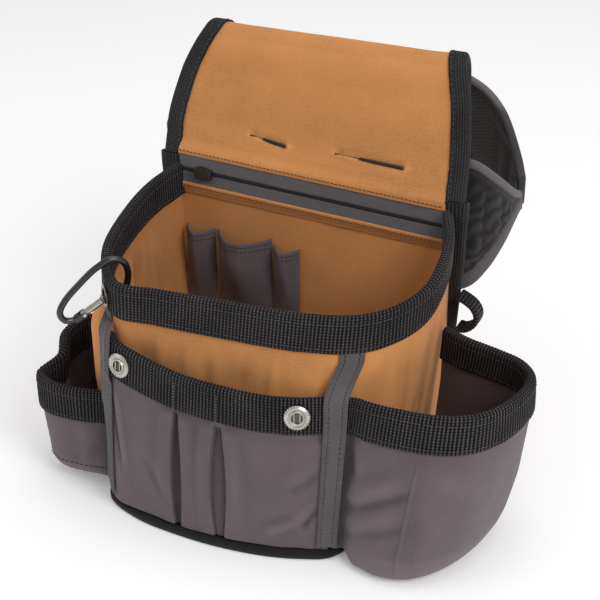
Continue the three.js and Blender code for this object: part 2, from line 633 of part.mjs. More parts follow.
// Webbing loop at the right back edge
const loopOutline = new THREE.Shape([
  [102, 96], [107.5, 95.5], [115, 101], [116.5, 108.5], [112.5, 116], [102, 121],
].map(([x, z]) => new THREE.Vector2(x, z)));
loopOutline.holes.push(new THREE.Path([
  [105.7, 99.5], [105.7, 117], [110.5, 114.5], [113, 108.5], [112, 103], [107, 99.5],
].map(([x, z]) => new THREE.Vector2(x, z))));
const LOOP_WIDTH = 13;
const loop = new THREE.ExtrudeGeometry(loopOutline, { depth: LOOP_WIDTH, bevelEnabled: false });
loop.rotateX(Math.PI / 2);
add('side_loop', loop, BLACK, 0.75).position.set(0, BACK_FRONT_FACE + BACK_THICKNESS, 0);

// Snap hook in a plane through the eyelet, with its own x out of the bag and y up
const WIRE_RADIUS = 2;
const GATE_RADIUS = 2.1;
const hook = new THREE.Group();
const hookOut = eyeletNormal.clone().setZ(0).normalize();
hook.quaternion.setFromRotationMatrix(
  new THREE.Matrix4().makeBasis(hookOut, Z_AXIS, hookOut.clone().cross(Z_AXIS)));
hook.position.copy(eyeletPoint);
bag.add(hook);

const gateNose = new THREE.Vector2(5.2, -2.6);
const gateHinge = new THREE.Vector2(18.5, -10.3);
const gateLine = gateHinge.clone().sub(gateNose);
const gateAlong = gateLine.clone().normalize();
const hookNose = gateNose.clone().addScaledVector(gateAlong, -2 * GAP);
const hookHinge = gateHinge.clone().addScaledVector(gateAlong, 2 * GAP);
const hookPath = new THREE.CatmullRomCurve3([
  hookHinge.toArray(), [23, -12.5], [28.5, -11.5], [30.8, -6.5], [27.6, 0.5], [18.4, 10], [7.6, 19],
  [-2, 23], [-9, 20], [-11.2, 12.3], [-9, 4], [-3.5, 0.4], hookNose.toArray(),
].map(([x, y]) => vector(x, y, 0)));
const wireSection = new THREE.Shape().absarc(0, 0, WIRE_RADIUS, 0, 2 * Math.PI);
const hookBody = new THREE.Mesh(
  new THREE.ExtrudeGeometry(wireSection, { steps: 30, curveSegments: 5, extrudePath: hookPath }),
  new THREE.MeshStandardMaterial({ color: BLACK, roughness: 0.35, metalness: 0.6 }),
);
hookBody.name = 'carabiner_body';
hook.add(hookBody);

// The gate is round at its hinge end, where it turns, and flat at its nose end
const gateLength = gateLine.length();
const gateProfile = [
  new THREE.Vector2(0, -GATE_RADIUS),
  ...spread(-60, 0, 3).map((degrees) => new THREE.Vector2(
    GATE_RADIUS * Math.cos(THREE.MathUtils.degToRad(degrees)),
    GATE_RADIUS * Math.sin(THREE.MathUtils.degToRad(degrees)))),
  new THREE.Vector2(GATE_RADIUS, gateLength - GATE_RADIUS),
  new THREE.Vector2(0, gateLength - GATE_RADIUS),
];
const gate = new THREE.Mesh(
  new THREE.LatheGeometry(gateProfile, 14),
  new THREE.MeshStandardMaterial({ color: SILVER, roughness: 0.3, metalness: 0.9 }),
);
gate.name = 'carabiner_gate';
const gatePivot = gateHinge.clone().addScaledVector(gateAlong, -GATE_RADIUS);
gate.position.set(gatePivot.x, gatePivot.y, 0);
gate.quaternion.setFromUnitVectors(Y_AXIS, vector(-gateAlong.x, -gateAlong.y, 0));
hook.add(gate);

export default bag;
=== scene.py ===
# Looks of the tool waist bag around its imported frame. Shapes are worked out in millimetres.
import math

import bpy
import numpy as np
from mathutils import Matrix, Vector


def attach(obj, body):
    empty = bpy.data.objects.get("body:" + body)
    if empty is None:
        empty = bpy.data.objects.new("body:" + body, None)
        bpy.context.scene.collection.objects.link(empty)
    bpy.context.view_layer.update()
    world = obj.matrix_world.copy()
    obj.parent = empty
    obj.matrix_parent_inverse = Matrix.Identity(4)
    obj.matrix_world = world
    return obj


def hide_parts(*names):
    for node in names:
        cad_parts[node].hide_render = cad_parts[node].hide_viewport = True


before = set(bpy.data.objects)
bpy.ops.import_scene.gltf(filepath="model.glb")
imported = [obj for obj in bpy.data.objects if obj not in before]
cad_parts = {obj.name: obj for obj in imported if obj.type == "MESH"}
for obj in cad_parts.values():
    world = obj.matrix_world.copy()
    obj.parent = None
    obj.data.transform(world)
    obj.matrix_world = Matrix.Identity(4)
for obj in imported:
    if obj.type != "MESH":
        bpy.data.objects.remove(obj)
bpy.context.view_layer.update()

MM = 0.001
X_AXIS, Y_AXIS, Z_AXIS = np.eye(3)
SIDES = ((-1, "left"), (1, "right"))

# Sizes shared with the frame
GAP = 0.3
CANVAS = 2.0
SLEEVE = 1.6
FLAP = 2.5
WEBBING = 1.7
BINDING = 1.2
TAPE = 1.2
STRAP = 2.0
BASE_HEIGHT = 5.0
WEBBING_WIDTH = 20.0
BACK_BINDING_WIDTH = 9.0
FLAP_BINDING_WIDTH = 10.5
STRAP_WIDTH = 12.0
BACK_FRONT_FACE = 58.0
BACK_THICKNESS = 3.0
BACK_TOP = 176.0
POCKET_RIM = 102.0
LEFT_POCKET_RIM = 68.0
LEFT_POCKET_FLOOR = 9.0
FOOT = BASE_HEIGHT + GAP
BAND_OFFSET = CANVAS / 2 + GAP + WEBBING

# How far stitches stand off the cloth
STITCH_LIFT = 0.05


# Small helpers for shapes

def unit(vectors):
    lengths = np.linalg.norm(vectors, axis=-1, keepdims=True)
    return vectors / np.maximum(lengths, 1e-12)


def ease(value, low, high):
    """0 below low, 1 above high and smooth between them."""
    share = np.clip((value - low) / (high - low), 0, 1)
    return share * share * (3 - 2 * share)


def hump(value, centre, width):
    """1 at the centre, falling away to both sides over about the width."""
    return np.exp(-(((value - centre) / width) ** 2))


def turns(count):
    """Angles evenly spread round a full turn."""
    return np.linspace(0, 2 * np.pi, count, endpoint=False)


def points_at(x, y, z):
    return np.stack(np.broadcast_arrays(x, y, z), -1)


def row_lengths(points):
    """Distance travelled along the last but one axis of an array of points."""
    steps = np.linalg.norm(np.diff(points, axis=-2), axis=-1)
    start = np.zeros(steps.shape[:-1] + (1,))
    return np.concatenate([start, np.cumsum(steps, axis=-1)], axis=-1)


def column_lengths(grid):
    return row_lengths(grid.transpose(1, 0, 2)).T


class Noise:
    """Smooth noise from -1 to 1 over a plane, the same on each run for the same seed."""

    SIZE = 64

    def __init__(self, seed):
        self.lattice = np.random.default_rng(seed).uniform(-1, 1, (self.SIZE, self.SIZE))

    def __call__(self, x, y):
        x, y = np.broadcast_arrays(x, y)
        column = np.floor(x).astype(int)
        row = np.floor(y).astype(int)
        a = ease(x - column, 0, 1)
        b = ease(y - row, 0, 1)

        def value(right, up):
            return self.lattice[(column + right) % self.SIZE, (row + up) % self.SIZE]

        low = value(0, 0) * (1 - a) + value(1, 0) * a
        high = value(0, 1) * (1 - a) + value(1, 1) * a
        return low * (1 - b) + high * b


class Curve:
    """Centripetal Catmull-Rom line through points, with places from 0 to 1 evenly spread over the points."""

    def __init__(self, points):
        points = np.array(points, float)
        first = 2 * points[0] - points[1]
        last = 2 * points[-1] - points[-2]
        self.spans = len(points) - 1
        self.points = np.vstack([first, points, last])

    def at(self, place):
        position = np.clip(place, 0, 1) * self.spans
        index = np.minimum(position.astype(int), self.spans - 1)
        share = (position - index)[..., None]
        p0, p1, p2, p3 = (self.points[index + step] for step in range(4))
        d0, d1, d2 = (
            np.sqrt(np.linalg.norm(b - a, axis=-1, keepdims=True)) for a, b in ((p0, p1), (p1, p2), (p2, p3))
        )
        start = ((p1 - p0) / d0 - (p2 - p0) / (d0 + d1) + (p2 - p1) / d1) * d1
        end = ((p2 - p1) / d1 - (p3 - p1) / (d1 + d2) + (p3 - p2) / d2) * d1
        square = 3 * (p2 - p1) - 2 * start - end
        cube = 2 * (p1 - p2) + start + end
        return p1 + share * (start + share * (square + share * cube))

    def tangent(self, place):
        step = 1e-4
        return unit(self.at(np.minimum(place + step, 1)) - self.at(np.maximum(place - step, 0)))


class Wall:
    """A cloth wall between a rim line and a foot line. A row is one section through it: its rim point,
    its foot point and how far it bows out half way down. Relief adds the folds, in millimetres outwards."""

    def __init__(self, rows, relief=None):
        rows = np.array(rows, float)
        self.rim = Curve(rows[:, 0:3])
        self.foot = Curve(rows[:, 3:6])
        self.bows = rows[:, 6]
        self.lowest = rows[:, 5].min()
        self.relief = relief
        self.places = np.linspace(0, 1, 801)
        self.runs = row_lengths(self.rim.at(self.places))
        self.length = self.runs[-1]

    def section(self, run):
        run = np.asarray(run, float)
        inside = np.clip(run, 0, self.length)
        place = np.interp(inside, self.runs, self.places)
        along = self.rim.tangent(place)
        along[..., 2] = 0
        along = unit(along)
        extra = along * (run - inside)[..., None]
        foot = self.foot.at(place) + extra
        foot[..., 2] = np.maximum(foot[..., 2], self.lowest)
        bow = np.interp(place * (len(self.bows) - 1), np.arange(len(self.bows)), self.bows)
        return place, self.rim.at(place) + extra, foot, np.cross(along, Z_AXIS), bow

    def height(self, run):
        _, rim, foot, _, _ = self.section(run)
        return np.linalg.norm(rim - foot, axis=-1)

    def middle(self, run, depth):
        """Points of the middle surface at depths below the rim; run and depth broadcast together."""
        _, rim, foot, out, bow = self.section(run)
        part = depth / np.linalg.norm(rim - foot, axis=-1)
        push = 4 * bow * part * (1 - part)
        if self.relief is not None:
            push = push + self.relief(run, depth, part)
        return rim + (foot - rim) * part[..., None] + out * push[..., None]

    def normal(self, run, depth):
        step = 0.5
        along = self.middle(run + step, depth) - self.middle(run - step, depth)
        down = self.middle(run, depth + step) - self.middle(run, depth - step)
        return unit(np.cross(down, along))

    def at(self, run, depth, offset):
        return self.middle(run, depth) + self.normal(run, depth) * np.asarray(offset, float)[..., None]

    def run_near(self, x, y):
        runs = np.linspace(0, self.length, 401)
        _, rim, _, _, _ = self.section(runs)
        return runs[np.argmin(np.hypot(rim[:, 0] - x, rim[:, 1] - y))]

    def grid(self, runs, rows):
        """Points from the rim to the foot, the same number of rows under each run."""
        depths = self.height(runs)[:, None] * np.linspace(0, 1, rows)
        return self.middle(runs[:, None], depths)


class Pouch(Wall):
    """A wall whose cloth turns in at the foot and runs along a floor to a root line."""

    BEND_ROWS = 9
    FLOOR_ROWS = 9

    def __init__(self, rows, turn, relief=None):
        super().__init__([row[:7] for row in rows], relief)
        self.roots = Curve([(row[7], row[8], row[5]) for row in rows])
        self.turn = turn

    def skin(self, runs, rows):
        place, rim, foot, _, _ = self.section(runs)
        root = self.roots.at(place)
        root[:, 2] = foot[:, 2]
        floor = np.linalg.norm(foot - root, axis=-1)
        turn = np.minimum(self.turn, floor * 0.45)
        straight = np.linalg.norm(rim - foot, axis=-1) - turn
        wall = self.middle(runs[:, None], straight[:, None] * np.linspace(0, 1, rows))
        end = (foot + (root - foot) * (turn / floor)[:, None])[:, None]
        share = np.linspace(0, 1, self.BEND_ROWS + 1)[1:, None]
        bend = (1 - share) ** 2 * wall[:, -1:] + 2 * share * (1 - share) * foot[:, None] + share**2 * end
        share = np.linspace(0, 1, self.FLOOR_ROWS + 1)[1:, None]
        return np.concatenate([wall, bend, end + (root[:, None] - end) * share], axis=1)


# Meshes and pieces

def make_object(name, points, faces, uv=None, sharp=55):
    """A smooth mesh object from millimetre points, its faces turned outwards."""
    points = np.reshape(points, (-1, 3))
    mesh = bpy.data.meshes.new(name)
    mesh.from_pydata((points * MM).tolist(), [], faces)
    mesh.calc_loop_triangles()
    corners = np.empty(3 * len(mesh.loop_triangles), np.int32)
    mesh.loop_triangles.foreach_get("vertices", corners)
    a, b, c = points[corners.reshape(-1, 3)].transpose(1, 0, 2)
    if (a * np.cross(b, c)).sum() < 0:
        mesh.flip_normals()
    mesh.polygons.foreach_set("use_smooth", np.ones(len(mesh.polygons), bool))
    mesh.set_sharp_from_angle(angle=math.radians(sharp))
    if uv is not None:
        layer = mesh.uv_layers.new(name="Cloth")
        vertex = np.empty(len(mesh.loops), np.int32)
        mesh.loops.foreach_get("vertex_index", vertex)
        layer.uv.foreach_set("vector", np.reshape(uv, (-1, 2))[vertex].astype(np.float32).ravel())
    piece = bpy.data.objects.new(name, mesh)
    bpy.context.scene.collection.objects.link(piece)
    return piece


def dress(piece, material, slot, *nodes, body="bag"):
    """Gives a piece its material, lets it ride and says which nodes it stands for; the slot is not used."""
    piece.data.materials.clear()
    piece.data.materials.append(material)
    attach(piece, body)
    if nodes:
        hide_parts(*nodes)
    return piece


# Painted light and shade of a piece, with the paler rub of its ridges, kept on each point for its material.
def set_wear_and_shade(piece, wear_and_shade):
    attribute = piece.data.attributes.new("wear_and_shade", "FLOAT", "POINT")
    attribute.data.foreach_set("value", np.ravel(wear_and_shade).astype(np.float32))


def sheet_faces(columns, rows):
    """Quads of a closed sheet: its front grid, its back grid and the edge between them."""
    count = columns * rows
    grid = np.arange(count).reshape(columns, rows)
    ring = np.concatenate([grid[:, 0], grid[-1, 1:], grid[-2::-1, -1], grid[0, -2:0:-1]])
    after = np.roll(ring, -1)
    front = np.stack([grid[:-1, :-1], grid[:-1, 1:], grid[1:, 1:], grid[1:, :-1]], -1).reshape(-1, 4)
    back = front[:, [0, 3, 2, 1]] + count
    edge = np.stack([ring, after, after + count, ring + count], -1)
    return np.concatenate([front, back, edge]).tolist()


def tube_faces(rings, sides):
    """Quads round a tube and one flat face over each end."""
    index = np.arange(rings * sides).reshape(rings, sides)
    after = np.roll(index, -1, axis=1)
    quads = np.stack([index[:-1], after[:-1], after[1:], index[1:]], -1).reshape(-1, 4)
    return quads.tolist() + [index[0, ::-1].tolist(), index[-1].tolist()]


def grid_normals(grid):
    return unit(np.cross(np.gradient(grid, axis=1), np.gradient(grid, axis=0)))


def edge_distance(grid):
    """Distance of each point of a grid from the nearest of its four edges, measured over the cloth."""
    down = row_lengths(grid)
    along = column_lengths(grid)
    return np.minimum.reduce([down, down[:, -1:] - down, along, along[-1:] - along])


def fold_shade(grid, normals):
    """Positive on ridges, where cloth rubs pale, and negative in creases, which are painted with shade."""
    spread = np.zeros(grid.shape)
    spread[1:-1] += grid[:-2] + grid[2:] - 2 * grid[1:-1]
    spread[:, 1:-1] += grid[:, :-2] + grid[:, 2:] - 2 * grid[:, 1:-1]
    bend = -(spread * normals).sum(-1)
    for _ in range(3):
        padded = np.pad(bend, 1, mode="edge")
        bend = (padded[:-2, 1:-1] + padded[2:, 1:-1] + padded[1:-1, :-2] + padded[1:-1, 2:]) / 4
    return np.clip(bend * 4, -1, 1)


def two_layers(name, grid, points, faces):
    """A mesh of two layers of cloth over a grid, with the grid's distances as its weave."""
    uv = np.stack([column_lengths(grid), row_lengths(grid)], -1)
    return make_object(name, points, faces, np.stack([uv, uv]))


def cloth_sheet(name, grid, thickness, rounding=1.2, dark=0.0):
    """A closed sheet of cloth around a grid of points, thinner towards its cut edges. Its ridges rub paler and its
    creases are painted darker as shade; the share dark darkens it further, and a negative share makes it paler."""
    normals = grid_normals(grid)
    edge = np.clip(edge_distance(grid) / rounding, 0, 1)
    half = thickness / 2 * (0.35 + 0.65 * np.sqrt(1 - (1 - edge) ** 2))[..., None]
    points = np.stack([grid + normals * half, grid - normals * half])
    piece = two_layers(name, grid, points, sheet_faces(*grid.shape[:2]))
    shade = fold_shade(grid, normals)
    set_wear_and_shade(piece, np.clip(np.stack([shade - dark, -shade - dark]), -1, 1))
    return piece


def tube(name, rings, along, around, wear_and_shade=0.0):
    """A tube through rings of points; along and around measure it for its weave, and the last argument paints light and
    shade into its colour.
    """
    uv = np.stack(np.broadcast_arrays(along[:, None], around[None]), -1)
    piece = make_object(name, rings, tube_faces(*rings.shape[:2]), uv)
    set_wear_and_shade(piece, np.broadcast_to(wear_and_shade, rings.shape[:2]))
    return piece


def lathe(name, profile, origin, axis, sides=48):
    """A turned piece: (radius, height) points from the axis round to the axis, stood along an axis."""
    profile = np.array(profile, float)
    across = unit(np.cross(axis, Z_AXIS if abs(axis[2]) < 0.9 else X_AXIS))
    angles = turns(sides)[:, None]
    round_it = np.cos(angles) * across + np.sin(angles) * np.cross(axis, across)
    rings = origin + profile[:, 0, None, None] * round_it + profile[:, 1, None, None] * axis
    return make_object(name, rings, tube_faces(*rings.shape[:2]), sharp=35)


def joined(name, shapes):
    """One mesh object out of several lists of points and faces."""
    points, faces, start = [], [], 0
    for shape_points, shape_faces in shapes:
        shape_points = np.reshape(shape_points, (-1, 3))
        points.append(shape_points)
        faces += [[corner + start for corner in face] for face in shape_faces]
        start += len(shape_points)
    return make_object(name, np.concatenate(points), faces)


def stitch_row(line, normals, pitch=3.4, length=2.5, radius=0.32):
    """Points and faces of a row of stitches along a line on cloth; each stitch dives in at both ends."""
    rings, sides = 6, 6
    travel = row_lengths(line)
    centres = np.arange(pitch / 2, travel[-1] - pitch / 2, pitch)
    share = np.linspace(-0.5, 0.5, rings)
    places = centres[:, None] + share * length

    def along(values, spots):
        return np.stack([np.interp(spots, travel, values[:, axis]) for axis in range(3)], -1)

    middle = along(line, places)
    up = unit(along(normals, places))
    ahead = unit(along(line, places + 0.2) - along(line, places - 0.2))
    aside = np.cross(up, ahead)
    swell = np.sqrt(1 - (1.9 * share) ** 2)[:, None]
    angles = turns(sides)
    rise = radius * (0.9 * np.sin(angles) + 0.6) * swell - radius * (1 - swell) * 1.5
    points = middle[:, :, None] + aside[:, :, None] * (radius * np.cos(angles) * swell)[..., None]
    points = points + up[:, :, None] * rise[..., None]
    one = tube_faces(rings, sides)
    faces = [[corner + stitch * rings * sides for corner in face]
             for stitch in range(len(centres)) for face in one]
    return points, faces


def sheet_stitches(line, normals, thickness, **sizes):
    """A row of stitches along a line in the middle of a sheet, on the side of the normals."""
    return stitch_row(line + normals * (thickness / 2 + STITCH_LIFT), normals, **sizes)


def wall_stitches(wall, runs, depth, offset, **sizes):
    """A row of stitches along a wall at a depth; a negative offset puts it on the inner side."""
    depths = np.broadcast_to(depth, runs.shape)
    return stitch_row(wall.at(runs, depths, offset), wall.normal(runs, depths) * np.sign(offset), **sizes)


SETTLING = {
    "shrink_min": 0.0, "quality": 6, "mass": 0.2, "tension_stiffness": 20, "compression_stiffness": 20,
    "bending_stiffness": 0.3, "use_pressure": True, "uniform_pressure_force": 3.0,
}
SETTLING_FRAMES = 18
SETTLING_REACH = 3.2


def settle(points, faces, held, grow):
    """The points of a mesh after a cloth simulation under pressure in which the held points stay, the
    cloth is longer by the share grow, and no point moves further than the reach."""
    mesh = bpy.data.meshes.new("settling")
    mesh.from_pydata((points * MM).tolist(), [], faces)
    cloth = bpy.data.objects.new("settling", mesh)
    bpy.context.scene.collection.objects.link(cloth)
    group = cloth.vertex_groups.new(name="held")
    group.add(np.flatnonzero(held).tolist(), 1.0, "REPLACE")
    modifier = cloth.modifiers.new("settle", "CLOTH")
    modifier.point_cache.frame_start = 1
    modifier.point_cache.frame_end = SETTLING_FRAMES
    modifier.settings.vertex_group_mass = "held"
    modifier.settings.effector_weights.gravity = 0
    for key, value in (SETTLING | {"shrink_min": -grow}).items():
        setattr(modifier.settings, key, value)
    for number in range(1, SETTLING_FRAMES + 1):
        bpy.context.scene.frame_set(number)
    settled = cloth.evaluated_get(bpy.context.evaluated_depsgraph_get()).data
    moved = np.empty(3 * len(points), np.float32)
    settled.vertices.foreach_get("co", moved)
    bpy.data.objects.remove(cloth)
    bpy.context.scene.frame_set(1)
    shift = moved.reshape(-1, 3) / MM - points
    far = np.linalg.norm(shift, axis=1, keepdims=True)
    return points + shift * np.minimum(1, SETTLING_REACH / np.maximum(far, 1e-9))


# Materials

class Finish:
    """A Principled material put together from short calls."""

    def __init__(self, name, **sockets):
        self.material = bpy.data.materials.new(name)
        self.material.use_nodes = True
        self.tree = self.material.node_tree
        self.shader = self.tree.nodes["Principled BSDF"]
        for socket, value in sockets.items():
            self.shader.inputs[socket.replace("_", " ")].default_value = value

    def node(self, kind, inputs=(), **settings):
        node = self.tree.nodes.new(kind)
        for key, value in settings.items():
            setattr(node, key, value)
        for key, value in dict(inputs).items():
            self.feed(node.inputs[key], value)
        return node

    def feed(self, socket, value):
        if isinstance(value, bpy.types.NodeSocket):
            self.tree.links.new(value, socket)
        else:
            socket.default_value = value

    def math(self, operation, a, b=0.0, c=0.0):
        return self.node("ShaderNodeMath", {0: a, 1: b, 2: c}, operation=operation).outputs[0]

    def wave(self, value, period):
        """A sine of the value from 0 to 1."""
        angle = self.math("MULTIPLY", value, 2 * math.pi / period)
        return self.math("MULTIPLY_ADD", self.math("SINE", angle), 0.5, 0.5)

    def noise(self, vector, scale, detail=2.0):
        return self.node("ShaderNodeTexNoise", {"Vector": vector, "Scale": scale, "Detail": detail}).outputs[0]

    def cloth(self):
        """The two distances over the cloth, in millimetres."""
        uv = self.node("ShaderNodeUVMap", uv_map="Cloth").outputs[0]
        split = self.node("ShaderNodeSeparateXYZ", {0: uv})
        return split.outputs[0], split.outputs[1]

    def threads(self, u, v, scale, detail=2.0):
        """Noise over the cloth."""
        return self.noise(self.node("ShaderNodeCombineXYZ", {0: u, 1: v}).outputs[0], scale, detail)

    def slubs(self, u, v, u_scale, v_scale):
        """Noise drawn out along one thread of the cloth."""
        return self.threads(self.math("MULTIPLY", u, u_scale), self.math("MULTIPLY", v, v_scale), 1.0)

    def grain(self, scale, detail=2.0):
        """Noise through the whole piece."""
        return self.noise(self.node("ShaderNodeTexCoord").outputs["Object"], scale, detail)

    # Share of painted light and shade, with the paler rub of ridges, kept on the piece's points.
    def wear_and_shade_share(self):
        return self.level(self.node("ShaderNodeAttribute", attribute_name="wear_and_shade").outputs["Fac"], 0.5, 1.0)

    def level(self, value, low, high):
        """The value from 0 to 1 brought to a range."""
        return self.math("MULTIPLY_ADD", value, high - low, low)

    def total(self, *shares):
        """Sum of (value, weight) pairs around a middle of one half, kept from 0 to 1."""
        total = 0.5
        for value, weight in shares:
            total = self.math("MULTIPLY_ADD", self.math("SUBTRACT", value, 0.5), weight, total)
        return self.node("ShaderNodeClamp", {0: total}).outputs[0]

    def colour(self, share, colour, *levels):
        """Base colour by a share from 0 to 1 through evenly spread levels of a colour."""
        ramp = self.node("ShaderNodeValToRGB", {0: share})
        elements = ramp.color_ramp.elements
        while len(elements) < len(levels):
            elements.new(0.5)
        for index, level in enumerate(levels):
            elements[index].position = index / (len(levels) - 1)
            elements[index].color = (*(min(1.0, channel * level) for channel in colour), 1)
        self.feed(self.shader.inputs["Base Color"], ramp.outputs[0])

    def rough(self, share, low, high):
        self.feed(self.shader.inputs["Roughness"], self.level(share, low, high))

    def relief(self, height, depth_mm, strength=1.0):
        bump = self.node("ShaderNodeBump", {"Height": height, "Distance": depth_mm * MM, "Strength": strength})
        self.feed(self.shader.inputs["Normal"], bump.outputs[0])


def woven(name, sheen, sheen_roughness, specular):
    finish = Finish(name, Sheen_Weight=sheen, Sheen_Roughness=sheen_roughness, Specular_IOR_Level=specular)
    return finish, *finish.cloth()


def canvas(name, colour, contrast, sheen):
    """Duck or twill canvas: fine diagonal weave, slubs along both threads, clouds, ridges that rub paler, and the
    painted light and shade of its pieces.
    """
    finish, u, v = woven(name, sheen, 0.6, 0.25)
    twill = finish.wave(finish.math("ADD", u, v), 0.9)
    warp = finish.slubs(u, v, 1.3, 0.09)
    weft = finish.slubs(u, v, 0.09, 1.3)
    clouds = finish.grain(28, 3.0)
    specks = finish.threads(u, v, 0.8, 1.0)
    share = finish.total((twill, 0.16 * contrast), (warp, 0.26 * contrast), (weft, 0.22 * contrast),
                         (clouds, 0.4), (specks, 0.34 * contrast), (finish.wear_and_shade_share(), 0.9))
    finish.colour(share, colour, 0.42, 1.0, 1.35)
    finish.rough(clouds, 0.82, 0.98)
    finish.relief(finish.total((twill, 0.5), (warp, 0.45), (weft, 0.45), (specks, 0.4)), 0.22, 0.8)
    return finish.material


def webbing(name, colour, rib, depth):
    """Heavy woven webbing: cords across its width, each a row of small knots, with painted highlights on the knots of
    the crests and painted shade in the grooves between cords.
    """
    finish, u, v = woven(name, 0.03, 0.5, 0.22)
    cord = finish.math("ABSOLUTE", finish.math("SINE", finish.math("MULTIPLY", u, math.pi / rib)))
    knots = finish.level(finish.wave(v, 1.7), 0.7, 1.0)
    lumps = finish.math("MULTIPLY", cord, knots)
    fuzz = finish.threads(u, v, 1.4)
    # Painted highlights on the knots of the cord crests and painted shade in the grooves between the cords.
    painted_glints = finish.math("MULTIPLY", lumps, lumps)
    finish.colour(finish.total((painted_glints, 0.9), (fuzz, 1.1), (finish.grain(45), 0.4)), colour, 0.15, 0.9, 9.0)
    finish.rough(fuzz, 0.6, 0.85)
    finish.relief(finish.total((lumps, 0.9), (fuzz, 0.3)), depth)
    return finish.material


def tape_twill(name, colour, pitch):
    """Twill tape: plain slanting ribs with a fine grain, and the painted shade of its pieces."""
    finish, u, v = woven(name, 0.2, 0.6, 0.25)
    slant = finish.wave(finish.math("MULTIPLY_ADD", v, 0.9, u), pitch)
    fuzz = finish.threads(u, v, 1.6)
    share = finish.total((slant, 0.6), (fuzz, 0.5), (finish.grain(40), 0.3), (finish.wear_and_shade_share(), 0.4))
    finish.colour(share, colour, 0.45, 1.0, 1.5)
    finish.rough(fuzz, 0.8, 0.95)
    finish.relief(finish.total((slant, 0.8), (fuzz, 0.4)), 0.25)
    return finish.material


def spacer_mesh(name, colour, pitch):
    """Padded spacer mesh: rows of small round holes set like a honeycomb."""
    finish, u, v = woven(name, 0.1, 0.5, 0.35)
    holes = 0.0
    for angle in np.radians((0, 60, 120)):
        across = finish.math("MULTIPLY", u, math.cos(angle))
        slanted = finish.math("MULTIPLY_ADD", v, math.sin(angle), across)
        holes = finish.math("ADD", holes, finish.wave(slanted, pitch * math.sin(math.pi / 3)))
    rim = finish.node("ShaderNodeMapRange", {0: holes, 1: 1.1, 2: 2.0}).outputs[0]
    fuzz = finish.threads(u, v, 1.8)
    open_share = finish.math("SUBTRACT", 1.0, rim)
    finish.colour(finish.total((open_share, 0.8), (fuzz, 0.3)), colour, 0.15, 1.0, 2.2)
    finish.rough(fuzz, 0.6, 0.85)
    finish.relief(open_share, 0.9)
    return finish.material


def thread(name, colour):
    """Twisted sewing thread."""
    finish = Finish(name, Sheen_Weight=0.3, Sheen_Roughness=0.4, Specular_IOR_Level=0.4)
    strands = finish.grain(1400, 1.0)
    finish.colour(strands, colour, 0.6, 1.0, 1.4)
    finish.rough(strands, 0.5, 0.8)
    finish.relief(strands, 0.1)
    return finish.material


def metal(name, colour, low, high, metallic=1.0, coat=0.0):
    """Plated or painted metal with faint scuffs."""
    finish = Finish(name, Metallic=metallic, Coat_Weight=coat, Coat_Roughness=0.15)
    scuffs = finish.grain(420, 4.0)
    finish.colour(finish.total((scuffs, 0.6), (finish.grain(90), 0.5)), colour, 0.7, 1.0, 1.15)
    finish.rough(scuffs, low, high)
    finish.relief(scuffs, 0.03, 0.5)
    return finish.material


def moulded(name, colour):
    """Moulded plastic with a fine spark-eroded grain."""
    finish = Finish(name, Specular_IOR_Level=0.45)
    grain = finish.grain(1500)
    finish.colour(finish.total((grain, 0.5), (finish.grain(60), 0.4)), colour, 0.7, 1.0, 1.5)
    finish.rough(grain, 0.38, 0.6)
    finish.relief(grain, 0.06, 0.6)
    return finish.material


RIB = 2.15
BINDING_RIB = 0.9
tan_canvas = canvas("tan_canvas", (0.55, 0.236, 0.076), 1.0, 0.06)
grey_canvas = canvas("grey_canvas", (0.118, 0.0915, 0.101), 0.8, 0.15)
# The hip cushion's grey cloth, painted much darker than the grey canvas as shade.
shaded_pad_cloth = canvas("shaded_pad_cloth", (0.032, 0.0275, 0.029), 0.8, 0.1)
pad_edge = canvas("pad_edge", (0.105, 0.093, 0.098), 0.7, 0.1)
base_cloth = canvas("base_cloth", (0.010, 0.010, 0.0105), 1.2, 0.08)
black_webbing = webbing("black_webbing", (0.0135, 0.0115, 0.0123), RIB, 0.35)
black_binding = webbing("black_binding", (0.0105, 0.010, 0.0105), BINDING_RIB, 0.2)
grey_tape = tape_twill("grey_tape", (0.092, 0.083, 0.087), 1.5)
zip_tape_cloth = tape_twill("zip_tape_cloth", (0.15, 0.142, 0.15), 0.9)
black_mesh = spacer_mesh("black_mesh", (0.026, 0.0235, 0.0245), 2.6)
grey_thread = thread("grey_thread", (0.05, 0.046, 0.048))
dark_thread = thread("dark_thread", (0.012, 0.011, 0.012))
brown_thread = thread("brown_thread", (0.055, 0.022, 0.008))
nickel = metal("nickel", (0.54, 0.515, 0.465), 0.22, 0.42)
shadowed_nickel = metal("shadowed_nickel", (0.12, 0.11, 0.095), 0.4, 0.6)
black_enamel = metal("black_enamel", (0.008, 0.008, 0.009), 0.22, 0.4, metallic=0.0, coat=0.5)
black_plastic = moulded("black_plastic", (0.014, 0.014, 0.015))

# Rows of stitches by the colour of their thread
threads = {"grey": [], "dark": [], "brown": []}


# Folded webbing

def folded_profile(width):
    """Ring of (offset, depth) points round webbing folded over an edge, and the way out at each point."""
    near = CANVAS / 2 + GAP
    far = near + WEBBING
    leg = np.linspace(width - 0.6, 1.0, 11)
    over = np.linspace(0, np.pi, 9)[1:-1]
    outer = [(far, depth) for depth in leg]
    outer += [(far * np.cos(angle), 1 - far * np.sin(angle)) for angle in over]
    outer += [(-far, depth) for depth in leg[::-1]]
    inner_leg = [(far - 0.5, width), (near + 0.3, width), (near, width - 0.6), (near, 10.0), (near, 1.0)]
    inner = [(-offset, depth) for offset, depth in inner_leg]
    inner += [(near * np.cos(angle), 1 - near * np.sin(angle)) for angle in over[::-2]]
    ring = np.array(outer + inner + inner_leg[::-1])
    ways = np.zeros(ring.shape)
    ways[:11, 0] = 1
    ways[11:18] = np.stack([np.cos(over), -np.sin(over)], -1)
    ways[18:29, 0] = -1
    return ring, ways


